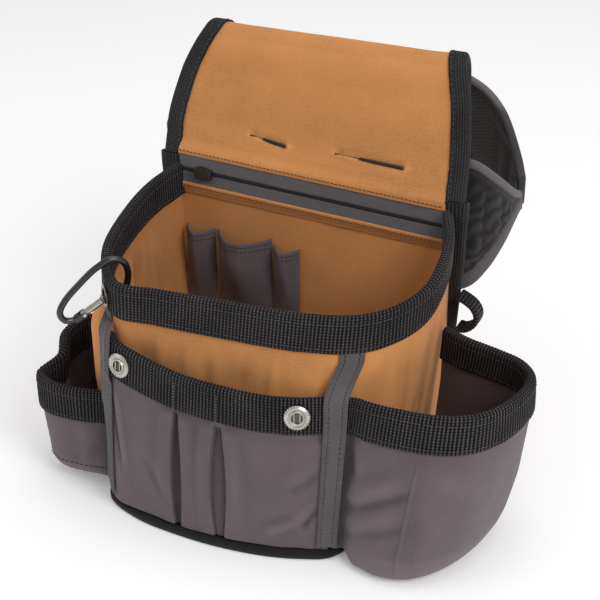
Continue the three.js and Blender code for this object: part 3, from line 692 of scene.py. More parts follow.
def folded_webbing(name, node, wall, start, end, colour):
    """Webbing folded over a wall's rim, with a cord at each rib, slightly uneven edges and two rows of
    stitches on each leg."""
    runs = np.arange(start, end, RIB / 5)
    ring, ways = folded_profile(WEBBING_WIDTH)
    uneven = Noise(len(name))
    cord = 0.6 * (np.abs(np.sin(np.pi * runs / RIB)) - 0.8)
    sway = 0.35 * uneven(runs[:, None] / 14, ring[None, :, 1] / 18 + np.sign(ring[None, :, 0]))
    loose = ease(ring[:, 1], 2, WEBBING_WIDTH) * (np.abs(ways[:, 0]) > 0.5)
    out = cord[:, None] + np.abs(sway) * loose
    ragged = 0.3 * uneven(runs[:, None] / 9, 7.5) * (ring[:, 1] > WEBBING_WIDTH - 1)
    rings = wall.at(runs[:, None], ring[:, 1] + ways[:, 1] * out + ragged, ring[:, 0] + ways[:, 0] * out)
    sewn = np.linspace(start + 1, end - 1, int((end - start) * 2))
    for offset in (BAND_OFFSET + STITCH_LIFT, -BAND_OFFSET - STITCH_LIFT):
        for depth in (3.4, WEBBING_WIDTH - 2.6):
            threads[colour].append(wall_stitches(wall, sewn, depth, offset, radius=0.26))
    return dress(tube(name, rings, runs, row_lengths(ring)), black_webbing, "black_webbing", node)


def creased(run, depth, creases):
    """Sum of straight creases: each row is run and depth of both ends, width and height."""
    total = 0
    for run_a, depth_a, run_b, depth_b, width, height in creases:
        span = np.hypot(run_b - run_a, depth_b - depth_a)
        way = ((run_b - run_a) / span, (depth_b - depth_a) / span)
        along = (run - run_a) * way[0] + (depth - depth_a) * way[1]
        aside = (run - run_a) * way[1] - (depth - depth_a) * way[0]
        taper = ease(along, 0, span * 0.25) * ease(span - along, 0, span * 0.35)
        total = total + height * taper * (hump(aside, 0, width) - 0.45 * hump(aside, 2 * width, width))
    return total


def with_foot(rows, height):
    """Rows of a wall with the height of its foot put in."""
    return [(*row[:5], height, *row[5:]) for row in rows]


# Body wall, from the back left corner round the front to the back right corner

# Columns: rim x, y, z, foot x, y and bow
body_rows = with_foot([
    (-91, 54.8, 171, -87, 54.8, 0),
    (-96.5, 28, 166.5, -88.5, 28, 1),
    (-97, 2, 161, -88.5, 2, 1.5),
    (-93, -30, 153, -85, -34, 1.5),
    (-83, -49, 149, -78, -56, 1),
    (-68, -64, 146, -66, -66, 0),
    (-42, -61.5, 145.5, -42, -75, 1),
    (0, -58.5, 145.5, 0, -79, 2),
    (45, -54, 145.5, 43, -76, 3),
    (76, -43.5, 146, 70, -65, 4),
    (93, -29, 149, 82, -42, 4),
    (103.5, -11, 154.5, 87.5, -18, 3),
    (105.5, 6, 161, 88.5, 6, 2),
    (102, 30, 167, 88.5, 30, 1),
    (92.5, 54.2, 171, 91, 54.2, 2.5),
], FOOT)
body_folds = Noise(11)
plain_body = Wall(body_rows)
# Fullness of the body inside the left pocket
LEFT_BULGE = 11.0
left_bulge_run = plain_body.run_near(-90, -36)


def body_relief(run, depth, part):
    ends = ease(run, 5, 60) * ease(plain_body.length - run, 5, 60)
    free = ease(depth, 21, 43) * ease(1 - part, 0.0, 0.15) * ends
    tall = 1.5 * body_folds(run / 15, depth / 80) + 0.7 * body_folds(run / 6 + 9, depth / 45)
    corner = LEFT_BULGE * hump(run, left_bulge_run, 13) * ease(depth, 18, 50) * ease(1 - part, 0.05, 0.45)
    return free * tall + corner


body = Wall(body_rows, body_relief)
TO_BACK = 2.8
body_start = -TO_BACK
body_end = body.length + TO_BACK
BODY_COLUMNS = 260
body_grid = body.grid(np.linspace(body_start, body_end, BODY_COLUMNS), 64)
# Painted light: the body's right wall is paler, as if lit from the right.
right_painted_light = -0.6 * ease(np.linspace(0, 1, BODY_COLUMNS), 0.62, 0.74)[:, None]
body_piece = dress(cloth_sheet("body_canvas", body_grid, CANVAS, dark=right_painted_light),
                   tan_canvas, "tan_canvas", "body_shell")
rim_piece = folded_webbing("rim_band", "rim_webbing", body, body_start, body_end, "grey")

# Eyelet at the left front corner
EYELET_BORE = 4.6
EYELET_TUBE = 5.4
EYELET_FLANGE = 7.2
EYELET_DEPTH = 12.0
eyelet_run = body.run_near(-75.5, -57.5)
eyelet_point = body.middle(eyelet_run, EYELET_DEPTH)
eyelet_way = body.normal(eyelet_run, EYELET_DEPTH)
eyelet_outer = BAND_OFFSET + GAP
eyelet_inner = -BAND_OFFSET - 7 * GAP


def punch(piece, origin, axis, radius, reach=12):
    """Cuts a round hole through a piece."""
    cutter = lathe("cutter", [(0, -reach), (radius, -reach), (radius, reach), (0, reach)], origin, axis)
    cutting = piece.modifiers.new("hole", "BOOLEAN")
    cutting.object = cutter
    cutting.operation = "DIFFERENCE"
    cutting.solver = "EXACT"
    bpy.context.view_layer.update()
    cut = bpy.data.meshes.new_from_object(piece.evaluated_get(bpy.context.evaluated_depsgraph_get()))
    piece.modifiers.clear()
    piece.data = cut
    bpy.data.objects.remove(cutter)


for pierced in (body_piece, rim_piece):
    punch(pierced, eyelet_point, eyelet_way, EYELET_TUBE + GAP)
flange = [(EYELET_TUBE, 0), (EYELET_FLANGE, 0), (EYELET_FLANGE + 0.1, 0.35), (EYELET_FLANGE - 0.4, 0.8),
          (EYELET_TUBE + 0.3, 0.95), (EYELET_BORE + 0.2, 0.7), (EYELET_BORE, 0.2)]
eyelet_profile = [(radius, eyelet_outer + height) for radius, height in flange]
eyelet_profile += [(radius, eyelet_inner - height) for radius, height in reversed(flange)]
eyelet_profile.append(eyelet_profile[0])
dress(lathe("eyelet_ring", eyelet_profile, eyelet_point, eyelet_way), black_enamel, "dark_metal", "rim_eyelet")

# Base panel with a rounded edge, carried on under the back panel
BASE_OUTLINE = [
    (-88, 61.5), (-91, 28), (-91, 2), (-88, -34), (-82, -60), (-74, -76), (-50, -87.5), (-20, -92),
    (10, -92.5), (38, -89), (58, -83), (73, -75), (83, -50), (90, -20), (91, 6), (92, 30), (91, 61.5),
]
base_edge = Curve([(x, y, 0) for x, y in BASE_OUTLINE]).at(np.linspace(0, 1, 240))
base_middle = np.array([0, -15, 0])
# Columns: share of the outline, height
BASE_LIP = [(0.0, 0), (0.5, 0), (0.975, 0), (0.993, 0.5), (1.0, 1.6)]
base_section = BASE_LIP + [(share, BASE_HEIGHT - height) for share, height in reversed(BASE_LIP)]
base_rings = np.stack([
    base_middle + (base_edge - base_middle) * share + Z_AXIS * height for share, height in base_section])
base_piece = make_object("base_cloth_panel", base_rings, tube_faces(*base_rings.shape[:2]), base_rings[..., :2])
set_wear_and_shade(base_piece, np.zeros(base_rings.shape[:2]))
dress(base_piece, base_cloth, "base_cloth", "base_panel")

# Front pocket with two pleats

# Columns: rim x, y, z, foot x, y and bow
front_rows = with_foot([
    (-74, -66.2, 114, -74.5, -71.2, 0),
    (-66.5, -72.8, 112.5, -67, -80.2, 1),
    (-50, -76.5, 109.3, -49, -85.5, 2),
    (-22, -79, 104, -20, -89, 2),
    (8, -81, 103.5, 10, -89.5, 2),
    (32, -79, 102.7, 36, -86, 2),
    (52, -73, 102.5, 55, -80.5, 2),
    (64, -66.5, 102.2, 64, -76.5, 1),
    (72.5, -63, POCKET_RIM, 70.5, -74, 0),
], FOOT)
plain_front = Wall(front_rows)
# Columns: run, depth, half width of a pleat's opening and swell of its floor
PLEATS = [
    (plain_front.run_near(-22, -79), 4.8, 4.2, 0.0),
    (plain_front.run_near(6, -81), 5.2, 5.8, 2.0),
]
FRONT_CREASES = [
    (7, 26, 17, 84, 2.0, -1.7),
    (plain_front.length - 22, 84, plain_front.length - 4, 66, 3.5, -1.1),
    (plain_front.length - 30, 60, plain_front.length - 4, 44, 4.0, -0.8),
    (plain_front.length - 45, 88, plain_front.length - 20, 76, 3.0, 0.8),
    (32, 60, 52, 90, 4.0, -0.6),
]
front_folds = Noise(23)


def pleat_half(part, half_width):
    return half_width * (0.3 + 0.7 * np.sin(np.pi * np.clip((part - 0.17) / 0.95, 0, 1)))


def front_relief(run, depth, part):
    free = ease(depth, 20.5, 28) * ease(1 - part, -0.03, 0.03)
    ends = ease(run, 3, 16) * ease(plain_front.length - run, 3, 16)
    push = 0.5 * front_folds(run / 18, depth / 30) + creased(run, depth, FRONT_CREASES)
    seams = 0
    for centre, deep, half_width, swell in PLEATS:
        half = pleat_half(part, half_width)
        aside = np.abs(run - centre)
        floor = deep * (1 - 0.35 * part) - swell * np.clip(1 - (aside / half) ** 2, 0, 1)
        push = push + 1.4 * hump(aside, half + 4.0, 5.0) * np.sin(np.pi * np.clip(part, 0, 1))
        push = push - floor * (1 - ease(aside, half - 0.45, half + 0.45))
        seams = seams - 0.8 * hump(aside, 0, 0.8) * ease(depth, 1, 8)
    return free * ends * push + (1 - free) * seams


def pleat_shade(run, part):
    """Share of painted shade by which the insides of the pleats, and their lips, are darker."""
    total = 0
    for centre, _, half_width, swell in PLEATS:
        past_lip = np.abs(run - centre) - pleat_half(part, half_width)
        shade = (1.6 - 0.4 * swell) * (1 - ease(past_lip, -0.2, 0.7)) + 0.8 * hump(past_lip, -0.2, 0.8)
        total = total + shade * ease(part, 0.17, 0.26)
    return total


front = Wall(front_rows, front_relief)
fine_runs = [pleat[0] + np.linspace(-9, 9, 91) for pleat in PLEATS]
coarse_runs = np.linspace(0, front.length, 110)
clear = np.all([np.abs(coarse_runs - pleat[0]) > 9.3 for pleat in PLEATS], axis=0)
front_runs = np.sort(np.concatenate([coarse_runs[clear], *fine_runs]))
front_parts = np.linspace(0, 1, 80)
scallops = 1.1 + 1.1 * front_folds(front_runs / 13 + 40, 2.5)
front_depths = (front.height(front_runs) - scallops)[:, None] * front_parts
front_piece = cloth_sheet("front_pocket_cloth", front.middle(front_runs[:, None], front_depths), CANVAS,
                          dark=pleat_shade(front_runs[:, None], front_parts[None]))
dress(front_piece, grey_canvas, "grey_canvas", "front_pocket")
folded_webbing("front_pocket_band", "front_pocket_webbing", front, 0, front.length, "dark")


def seam_row(run, rim_z, foot_z):
    """A pocket row under a seam tape, in line with the end of the front pocket."""
    rim = plain_front.middle(run, plain_front.section(run)[1][2] - rim_z)
    foot = plain_front.middle(run, plain_front.height(run) - (foot_z - FOOT))
    return (rim[0], rim[1], rim_z, foot[0], foot[1], foot_z, 0)


# Right pocket, from the seam round to the back of the body
SEAM_GAP = 0.8
SEAM_REACH = 8.0
RIGHT_FLOOR = CANVAS / 2
SEAM_FLOOR = FOOT + CANVAS / 2
# Columns: rim x, y, z, foot x, y, bow, root x, y
RIGHT_ROWS = [
    (92, -62, 102.5, 90, -82, 1, 83.5, -54),
    (110, -62.5, 103, 108, -87, 2, 87, -44),
    (130, -60, 103, 126, -81, 3, 89.5, -34),
    (147, -51.5, 103, 139, -65, 4, 91.5, -25),
    (158, -36, 103, 147, -43, 5, 92.5, -14),
    (164.7, -14, 103.5, 151, -13, 5, 93, -4),
    (163.7, 3, 103.5, 148, 6, 5, 93, 6),
    (153.5, 16, 103.5, 136, 19, 4, 93, 14),
    (136, 23, 103.5, 119, 27, 2, 93, 22),
    (116, 29, 103.5, 104, 32, 1, 93, 29),
    (100.3, 37, 103.5, 94.5, 37, 0, 92.5, 36),
]
RIGHT_TURN = 16.0
DART_RUN = 52.0
RIGHT_CREASES = [
    (5, 20, 14, 50, 3.0, -0.8),
    (0, 74, 56, 42, 4.2, -1.0),
    (-4, 93, 58, 62, 4.2, -0.9),
    (4, 62, 50, 36, 5.0, 0.5),
    (60, 34, 96, 52, 7.0, 0.7),
]
right_folds = Noise(31)


def right_relief(run, depth, part):
    free = ease(depth, 20.5, 37) * ease(1 - part, 0.02, 0.2)
    dart = DART_RUN - 7 * part
    step = 0.7 * (ease(run, dart - 0.8, dart + 0.8) - 0.5) * ease(40 - np.abs(run - dart), 0, 40)
    ridge = 0.5 * hump(run, dart + 0.6, 0.9)
    soft = 0.8 * right_folds(run / 30, depth / 34) + 0.35 * right_folds(run / 11 + 5, depth / 16)
    return free * (soft + step + ridge + creased(run, depth, RIGHT_CREASES))


right_rows = [
    (*seam_row(front.length + SEAM_GAP, POCKET_RIM, SEAM_FLOOR), 76.5, -69),
    (*seam_row(front.length + SEAM_REACH, POCKET_RIM, SEAM_FLOOR), 80.5, -61),
    *with_foot(RIGHT_ROWS, RIGHT_FLOOR),
]
right = Pouch(right_rows, RIGHT_TURN, right_relief)
right_runs = np.sort(np.concatenate([np.linspace(0, right.length, 130), np.linspace(43, 56, 40)]))
right_piece = dress(cloth_sheet("right_pocket_cloth", right.skin(right_runs, 52), CANVAS),
                    grey_canvas, "grey_canvas", "right_pocket")
folded_webbing("right_pocket_band", "right_pocket_webbing", right, 0, right.length, "grey")

# Left pocket, lower in front, from the body round to the seam

# Columns: rim x, y, z, foot x, y, bow, root x, y
LEFT_ROWS = [
    (-96.6, -3, 88, -92.5, -5, 0, -91.2, -8),
    (-112, -6.5, 87.5, -105, -8, 0, -91.2, -14),
    (-124.5, -13, 86, -119, -14, 1, -91, -20),
    (-130, -28, 82, -125, -28, 1, -90.5, -27),
    (-123.5, -44, 76, -126.5, -45, 1, -89, -36),
    (-130.5, -58, 69, -124.5, -59, 1, -87, -44),
    (-120, -65.5, LEFT_POCKET_RIM, -116, -67, 1, -85, -50),
    (-100, -67, LEFT_POCKET_RIM, -99, -68, 0, -83, -55),
]
LEFT_TURN = 8.0
LEFT_HEM = 6.5
left_folds = Noise(41)


def left_relief(run, depth, part):
    free = ease(depth, 20.5, 31) * ease(1 - part, 0.0, 0.2)
    return free * (0.8 * left_folds(run / 20, depth / 24) + 0.3 * left_folds(run / 8, depth / 10))


left_rows = [
    *with_foot(LEFT_ROWS, LEFT_POCKET_FLOOR),
    (*seam_row(-SEAM_REACH, LEFT_POCKET_RIM, LEFT_POCKET_FLOOR), -81.5, -59),
    (*seam_row(-SEAM_GAP, LEFT_POCKET_RIM, LEFT_POCKET_FLOOR), -79.5, -65),
]
left = Pouch(left_rows, LEFT_TURN, left_relief)
left_piece = dress(cloth_sheet("left_pocket_cloth", left.skin(np.linspace(0, left.length, 100), 40), CANVAS),
                   grey_canvas, "grey_canvas", "left_pocket")
folded_webbing("left_pocket_band", "left_pocket_webbing", left, 0, left.length, "grey")
hem_runs = np.linspace(14, left.length - 2, 300)
threads["dark"].append(wall_stitches(left, hem_runs, left.height(hem_runs) - LEFT_HEM, CANVAS / 2 + 0.1))

# Seam tapes from the rim webbing over the pocket edges to the base
tape_on_webbing = BAND_OFFSET + 2 * GAP + TAPE / 2
tape_on_canvas = CANVAS / 2 + GAP + TAPE / 2
tape_folds = Noise(53)
# Columns: name, end of the front pocket, reach to both sides, lowest depth, run on the body, stitched lines
TAPES = [
    ("left", 0.0, -3.5, 11.0, 102.0, body.run_near(-76.5, -56.5), (-0.6, 8.2)),
    ("right", plain_front.length, -9.0, 5.0, 94.0, body.run_near(73.5, -44.5), (-5.8, 1.9)),
]
for name, end, side_from, side_to, lowest, body_run, seams in TAPES:
    across = np.linspace(side_from, side_to, 49)
    columns = []
    for aside in across:
        body_side = body_run + aside - (side_from + side_to) / 2
        line = [body.at(body_side, depth, tape_on_canvas) for depth in (19.5, 22.5, 25.5)]
        inwards = aside if end == 0 else -aside
        for depth in (-2.6, 10, 20, 28, 40, 54, 66, 80, lowest):
            close = max(ease(depth, 48, 60), ease(depth, 20, 27) * ease(inwards, 2, 6))
            offset = tape_on_webbing + (tape_on_canvas + 0.3 - tape_on_webbing) * close
            line.append(plain_front.at(end + aside, depth, offset))
        columns.append(Curve(line).at(np.linspace(0, 1, 150)))
    tape_grid = np.array(columns)
    ripple = 0.45 * tape_folds(tape_grid[..., 2] / 9, across[:, None] / 8 + end)
    groove = sum(0.7 * hump(across, seam, 0.55) for seam in seams)[:, None]
    puckers = sum(hump(across, seam, 1.6) for seam in seams)[:, None] * np.sin(tape_grid[..., 2] * 1.9)
    tape_grid = tape_grid + grid_normals(tape_grid) * (np.abs(ripple) - groove + 0.18 * puckers)[..., None]
    # Painted shade darkens the stitched grooves of the tape; the strips outside its stitched lines are darker too.
    border = ease(np.maximum(seams[0] - across, across - seams[1]), -0.3, 0.3)[:, None]
    tape = cloth_sheet(f"seam_tape_{name}_cloth", tape_grid, TAPE, rounding=0.8, dark=1.2 * groove + 0.55 * border)
    dress(tape, grey_tape, "grey_tape", f"seam_tape_{name}")
    normals = grid_normals(tape_grid)
    for seam in seams:
        column = int(np.argmin(np.abs(across - seam)))
        threads["dark"].append(sheet_stitches(tape_grid[column], normals[column], TAPE, pitch=3.0, length=2.4))

# Ring snaps on the front pocket's webbing, each with a toothed rim, a dark disc of painted shade in its recess and a
# spring of two wires
RING_PROFILE = [
    (0, 0), (7.1, 0), (7.4, 0.4), (7.3, 0.8), (6.8, 1.2), (6.1, 1.6), (5.4, 1.5),
    (4.9, 1.0), (4.6, 1.0), (4.4, 1.6), (4.1, 2.0), (3.7, 2.0), (3.4, 1.7), (3.3, 0.8), (0, 0.7),
]
RECESS_PROFILE = [(0, 0.6), (3.25, 0.6), (3.25, 0.95), (0, 0.9)]
WIRE_PROFILE = [(0, -2.7), (0.35, -2.7), (0.35, 2.7), (0, 2.7)]
TEETH_RADIUS = 7.15
TEETH_POINTS = 90
for name, x, y, depth in (("left", -59.5, -74.8, 9.5), ("right", 51, -73.4, 8.8)):
    run = plain_front.run_near(x, y)
    way = plain_front.normal(run, depth)
    point = plain_front.at(run, depth, BAND_OFFSET + GAP)
    dress(lathe(f"snap_ring_{name}", RING_PROFILE, point, way), nickel, "bright_metal", f"pocket_snap_{name}")
    dress(lathe(f"snap_recess_{name}", RECESS_PROFILE, point, way), shadowed_nickel, "bright_metal")
    upwards = unit(np.cross(way, np.cross(Z_AXIS, way)))
    sideways = np.cross(way, upwards)
    angles = np.linspace(0, 2 * np.pi, TEETH_POINTS)[:, None]
    rim_line = point + way * 0.5 + TEETH_RADIUS * (np.cos(angles) * upwards + np.sin(angles) * sideways)
    rim_teeth = stitch_row(rim_line, np.tile(way, (TEETH_POINTS, 1)), pitch=1.7, length=1.1, radius=0.5)
    dress(joined(f"snap_teeth_{name}", [rim_teeth]), nickel, "bright_metal")
    for letter, aside in (("a", -1.7), ("b", 1.7)):
        wire_at = point + way * 1.25 + sideways * aside
        wire = lathe(f"snap_wire_{name}_{letter}", WIRE_PROFILE, wire_at, upwards, sides=12)
        dress(wire, nickel, "bright_metal")

# Tool sleeves on the inside of the back
SLEEVE_ROOT = BACK_FRONT_FACE - GAP - SLEEVE / 2
SLEEVE_BOTTOM = 72.0
sleeve_folds = Noise(61)


def facing_front(grid, row):
    """Normals along one row of a grid, on the side that faces the front."""
    normals = grid_normals(grid)
    return normals[:, row] * np.sign(-normals[len(grid) // 2, row, 1])


# Columns: name, x of both sides, top and bulge
for name, x_from, x_to, top, bulge in (
    ("left", -85.5, -65.5, 131, 9), ("middle", -63, -25, 131, 15), ("right", -23.5, -5.5, 127.5, 8),
):
    across = np.linspace(0, 1, 60)[:, None]
    z = np.linspace(top, SLEEVE_BOTTOM, 70)[None]
    fullness = 0.1 + 0.9 * ease(z, SLEEVE_BOTTOM, SLEEVE_BOTTOM + 45)
    slack = 1 + 0.12 * sleeve_folds(across * 4 + x_to, z / 26)
    out = bulge * fullness * slack * np.sin(np.pi * across)
    dip = 1.2 * np.sin(np.pi * across) * ease(z, top - 12, top)
    sleeve_grid = points_at(x_from + (x_to - x_from) * across, SLEEVE_ROOT - out, z - dip)
    dress(cloth_sheet(f"sleeve_{name}", sleeve_grid, SLEEVE), grey_canvas, "grey_canvas", f"tool_sleeve_{name}")
    for row in (3, 7):
        threads["dark"].append(sheet_stitches(sleeve_grid[:, row], facing_front(sleeve_grid, row), SLEEVE,
                                              pitch=2.6, length=2.0, radius=0.28))

# Back panel and the binding of its side edges

# Columns: z, half width
BACK_EDGE = np.array([(FOOT, 91), (50, 94.5), (95, 98.5), (140, 101.5), (BACK_TOP, 102)])
# Painted light: the back panel is paler all over, and more so towards the right.
BACK_PAINTED_LIGHT = 0.5
back_middle = BACK_FRONT_FACE + BACK_THICKNESS / 2
back_folds = Noise(71)
z = np.linspace(FOOT, BACK_TOP, 80)[None]
x = np.linspace(-1, 1, 90)[:, None] * np.interp(z, *BACK_EDGE.T)
back_grid = points_at(x, back_middle + 0.5 * back_folds(x / 26, z / 34), z)
back_piece = cloth_sheet("back_canvas", back_grid, BACK_THICKNESS - 0.6,
                         dark=-BACK_PAINTED_LIGHT - 0.6 * ease(x, -20, 60))
dress(back_piece, tan_canvas, "tan_canvas", "back_panel")


def binding_profile(thickness, width):
    """Ring of (past the edge, height) points round binding folded over an edge, with a round fold."""
    near = thickness / 2 + GAP
    far = near + BINDING
    over = np.linspace(np.pi / 2, -np.pi / 2, 9)
    reach = GAP + BINDING
    leg = [(-width, far - 0.3), (-width + 0.3, far), (-0.65 * width, far), (-2.8, far)]
    fold = [(-1.2 + (reach + 1.2) * np.cos(angle), far * np.sin(angle)) for angle in over]
    inner = [(-width, -near), (-1.2, -near), (GAP, -near * 0.6), (GAP, near * 0.6), (-1.2, near), (-width, near)]
    return np.array(leg + fold + [(past, -height) for past, height in reversed(leg)] + inner)


def bound_edge(name, node, thickness, width, place_at, places, seed):
    """Binding along an edge, with a row of stitches on both sides. place_at gives a point from a place, the
    distance past the edge and a height."""
    profile = binding_profile(thickness, width)
    uneven = Noise(seed)
    rings = []
    for place in places:
        past = profile[:, 0] + 0.25 * uneven(place * 40, 0.5) * (profile[:, 0] < -width + 0.5)
        swell = 1 + 0.05 * uneven(place * 25, 3.5)
        rings.append([place_at(place, a, b * swell) for a, b in zip(past, profile[:, 1])])
    rings = np.array(rings)
    dress(tube(name, rings, row_lengths(rings[:, 6]), row_lengths(profile)), black_binding, "black_binding", node)
    seat = thickness / 2 + GAP + BINDING + STITCH_LIFT
    above, middle, below = (
        np.array([place_at(place, -width + 2.0, height) for place in places]) for height in (seat, 0, -seat))
    for line in (above, below):
        threads["grey"].append(stitch_row(line, unit(line - middle), radius=0.26))


for side, name in SIDES:
    def back_edge_at(z, past, height, side=side):
        wider = 1 + 0.4 * ease(z, 158, 175)
        return np.array([side * (np.interp(z, *BACK_EDGE.T) + past * wider), back_middle + height, z])

    bound_edge(f"back_edge_{name}", f"back_binding_{name}", BACK_THICKNESS, BACK_BINDING_WIDTH, back_edge_at,
               np.linspace(FOOT, BACK_TOP + 2.2, 110), 5)

# Zip across the back, lower towards the right
ZIP_HALF_LENGTH = 90.5
ZIP_TAPE = 1.0
ZIP_PITCH = 1.5
ZIP_MIDDLE = 165.5
ZIP_SLANT = 0.043
COIL_HALF = 1.1
zip_tape_y = BACK_FRONT_FACE - GAP - ZIP_TAPE / 2


def zip_height(x):
    return ZIP_MIDDLE - ZIP_SLANT * x


for name, bottom, top in (("lower", -11, -0.9), ("upper", 0.9, 10.5)):
    x = np.linspace(-ZIP_HALF_LENGTH, ZIP_HALF_LENGTH, 120)[:, None]
    z = zip_height(x) + np.linspace(top, bottom, 12)[None]
    y = zip_tape_y + 0.25 * back_folds(x / 18 + 4, z / 12)
    strip = cloth_sheet(f"zip_tape_{name}_cloth", points_at(x, y, z), ZIP_TAPE, rounding=0.6)
    dress(strip, zip_tape_cloth, "grey_tape", f"zip_tape_{name}")
teeth = []
for number, x in enumerate(np.arange(-ZIP_HALF_LENGTH + 1, ZIP_HALF_LENGTH - 1, ZIP_PITCH)):
    middle = zip_height(x) + (0.3 if number % 2 else -0.3)
    line = points_at(x, BACK_FRONT_FACE - 1.2, middle + np.linspace(-COIL_HALF, COIL_HALF, 7))
    teeth.append(stitch_row(line, np.tile(-Y_AXIS, (7, 1)), pitch=2.2 * 0.98, length=1.8, radius=0.55))
RAIL_SECTION = ((-0.5, -COIL_HALF), (-0.5, COIL_HALF), (0.5, COIL_HALF), (0.5, -COIL_HALF))
coil_rail = [[(x, BACK_FRONT_FACE - 0.9 + y, zip_height(x) + z) for y, z in RAIL_SECTION]
             for x in np.linspace(-ZIP_HALF_LENGTH, ZIP_HALF_LENGTH, 60)]
teeth.append((coil_rail, tube_faces(60, 4)))
dress(joined("zip_teeth", teeth), black_plastic, "black_plastic", "zip_coil")

# Flap leaning back, over a soft fold and down behind

# Columns: y, z, half width and shift sideways, because the flap lies askew
FLAP_ROWS = np.array([
    (59.5, 177.4, 100, 0), (65.5, 187.5, 100, -1.3), (73, 200, 100, -3), (86, 228, 95.2, -3.2),
    (95.5, 246, 88.5, -2.5), (104, 252.5, 85, -2), (112.5, 246, 83.5, -1.5), (115, 232, 82.5, -0.5),
    (112.5, 200, 82, 0), (108.5, 160, 81, 0),
])
flap_line = Curve([(0, y, z) for y, z, _, _ in FLAP_ROWS])
flap_spans = Curve([(half, row, shift) for row, (_, _, half, shift) in enumerate(FLAP_ROWS)])
flap_folds = Noise(83)
# Columns: distance from the middle line and place of both ends of a stitched slit
SLITS = [(-42.7, 0.173, -17.6, 0.142), (15.3, 0.151, 61.1, 0.133)]


def flap_normal(place):
    return unit(np.cross(flap_line.tangent(np.asarray(place, float)), X_AXIS))


def flap_at(place, across, height):
    place = np.asarray(place, float)
    point = flap_line.at(place) + flap_normal(place) * np.asarray(height, float)[..., None]
    return point + X_AXIS * (flap_spans.at(place)[..., 2] + np.asarray(across, float))[..., None]


def flap_half_width(place):
    return flap_spans.at(np.asarray(place, float))[..., 0]


def slit_parts(place, across):
    """How far each point is in a slit and how far on the cloth behind its lower lip, from 0 to 1."""
    gap, behind = 0, 0
    for a_from, p_from, a_to, p_to in SLITS:
        share = (across - a_from) / (a_to - a_from)
        above = place - (p_from + (p_to - p_from) * share)
        along = ease(across, a_from - 1, a_from + 4) * ease(a_to - across, -1, 1)
        gap = gap + along * hump(above, 0, 0.005 + 0.008 * ease(share, 0.2, 0.6))
        behind = behind + along * ease(above, 0, 0.004) * (1 - ease(above, 0.004, 0.05))
    return gap, behind


def flap_relief(place, across):
    """Folds of the flap, towards the side that shows in front."""
    free = ease(1 - np.abs(across) / flap_half_width(place), 0.09, 0.25) * ease(place, 0.085, 0.16)
    swell = 0.9 * flap_folds(across / 55, place * 7) + 0.15 * flap_folds(across / 20 + 7, place * 16)
    gap, behind = slit_parts(place, across)
    return free * swell - 1.5 * gap - 0.9 * behind


front_side = -np.sign(flap_normal(0.2)[1])
flap_places = np.sort(np.concatenate([np.linspace(0, 1, 120), np.linspace(0.12, 0.19, 46)]))
flap_across = np.linspace(-1, 1, 136)[:, None] * flap_half_width(flap_places)
flap_grid = flap_at(flap_places, flap_across, front_side * flap_relief(flap_places, flap_across))
# The slits' gaps are painted dark as shade.
flap_piece = dress(cloth_sheet("flap_canvas", flap_grid, FLAP, dark=2 * slit_parts(flap_places, flap_across)[0]),
                   tan_canvas, "tan_canvas", "flap")
for a_from, p_from, a_to, p_to in SLITS:
    # The wider row of thick dark stitches is stitching that also stands in for the shade in the slit's gap.
    for share, radius in ((np.linspace(0, 1, 80), 0.6), (np.linspace(0.35, 0.98, 60), 1.2)):
        across = a_from + (a_to - a_from) * share
        places = p_from + (p_to - p_from) * share
        line = flap_at(places, across, front_side * (FLAP / 2 + flap_relief(places, across) + 0.15))
        threads["dark"].append(stitch_row(line, flap_normal(places) * front_side, pitch=1.6, length=2.0, radius=radius))

FLAP_BINDING_END = 0.985
for side, name in SIDES:
    def flap_edge_at(place, past, height, side=side):
        return flap_at(place, side * (flap_half_width(place) + past), height)

    bound_edge(f"flap_edge_{name}", f"flap_binding_{name}", FLAP, FLAP_BINDING_WIDTH, flap_edge_at,
               np.linspace(0, FLAP_BINDING_END, 170), 6)

flap_end = flap_at(1.0, 0.0, 0.0)
flap_down = flap_line.tangent(np.array(1.0))
end_half_width = flap_half_width(1.0) - FLAP_BINDING_WIDTH - GAP


def flap_end_at(x, past, height):
    return flap_end + flap_down * past + flap_normal(1.0) * height + X_AXIS * x


bound_edge("flap_edge_end", "flap_binding_end", FLAP, FLAP_BINDING_WIDTH, flap_end_at,
           np.linspace(-end_half_width, end_half_width, 120), 7)

# Tan hems along the zip's tapes: the upper one turns up into the flap, the lower one down on to the back
HEM = 1.0
HEM_HALF_LENGTH = 90.0
HEM_FACE = BACK_FRONT_FACE - 1.8
HEM_SEAM = 2.2
FLAP_ROOT = 177.3
FLAP_LEAN = 0.594
# Columns: name, edge above the zip's middle, way from that edge and width
for name, edge, way, width in (("upper", 10.2, 1, 9.5), ("lower", -8.7, -1, 8.0)):
    x = np.linspace(-HEM_HALF_LENGTH, HEM_HALF_LENGTH, 150)[:, None]
    past = np.linspace(width, 0, 30)[None, ::-way]
    z = zip_height(x) + edge + way * past
    carrier = BACK_FRONT_FACE - 0.25 + FLAP_LEAN * np.maximum(z - FLAP_ROOT, 0)
    y = HEM_FACE + (carrier - HEM_FACE) * ease(past, 1.5, width - 0.5) + 0.2 * back_folds(x / 12 + 3, z / 9)
    hem_grid = points_at(x, y, z)
    hem = cloth_sheet(f"zip_hem_{name}", hem_grid, HEM, dark=-0.8 * (1 - ease(past, 0.8, 1.8)))
    dress(hem, tan_canvas, "tan_canvas")
    row = int(np.argmin(np.abs(past[0] - HEM_SEAM)))
    threads["brown"].append(sheet_stitches(hem_grid[:, row], facing_front(hem_grid, row), HEM,
                                           pitch=2.7, length=2.1, radius=0.3))

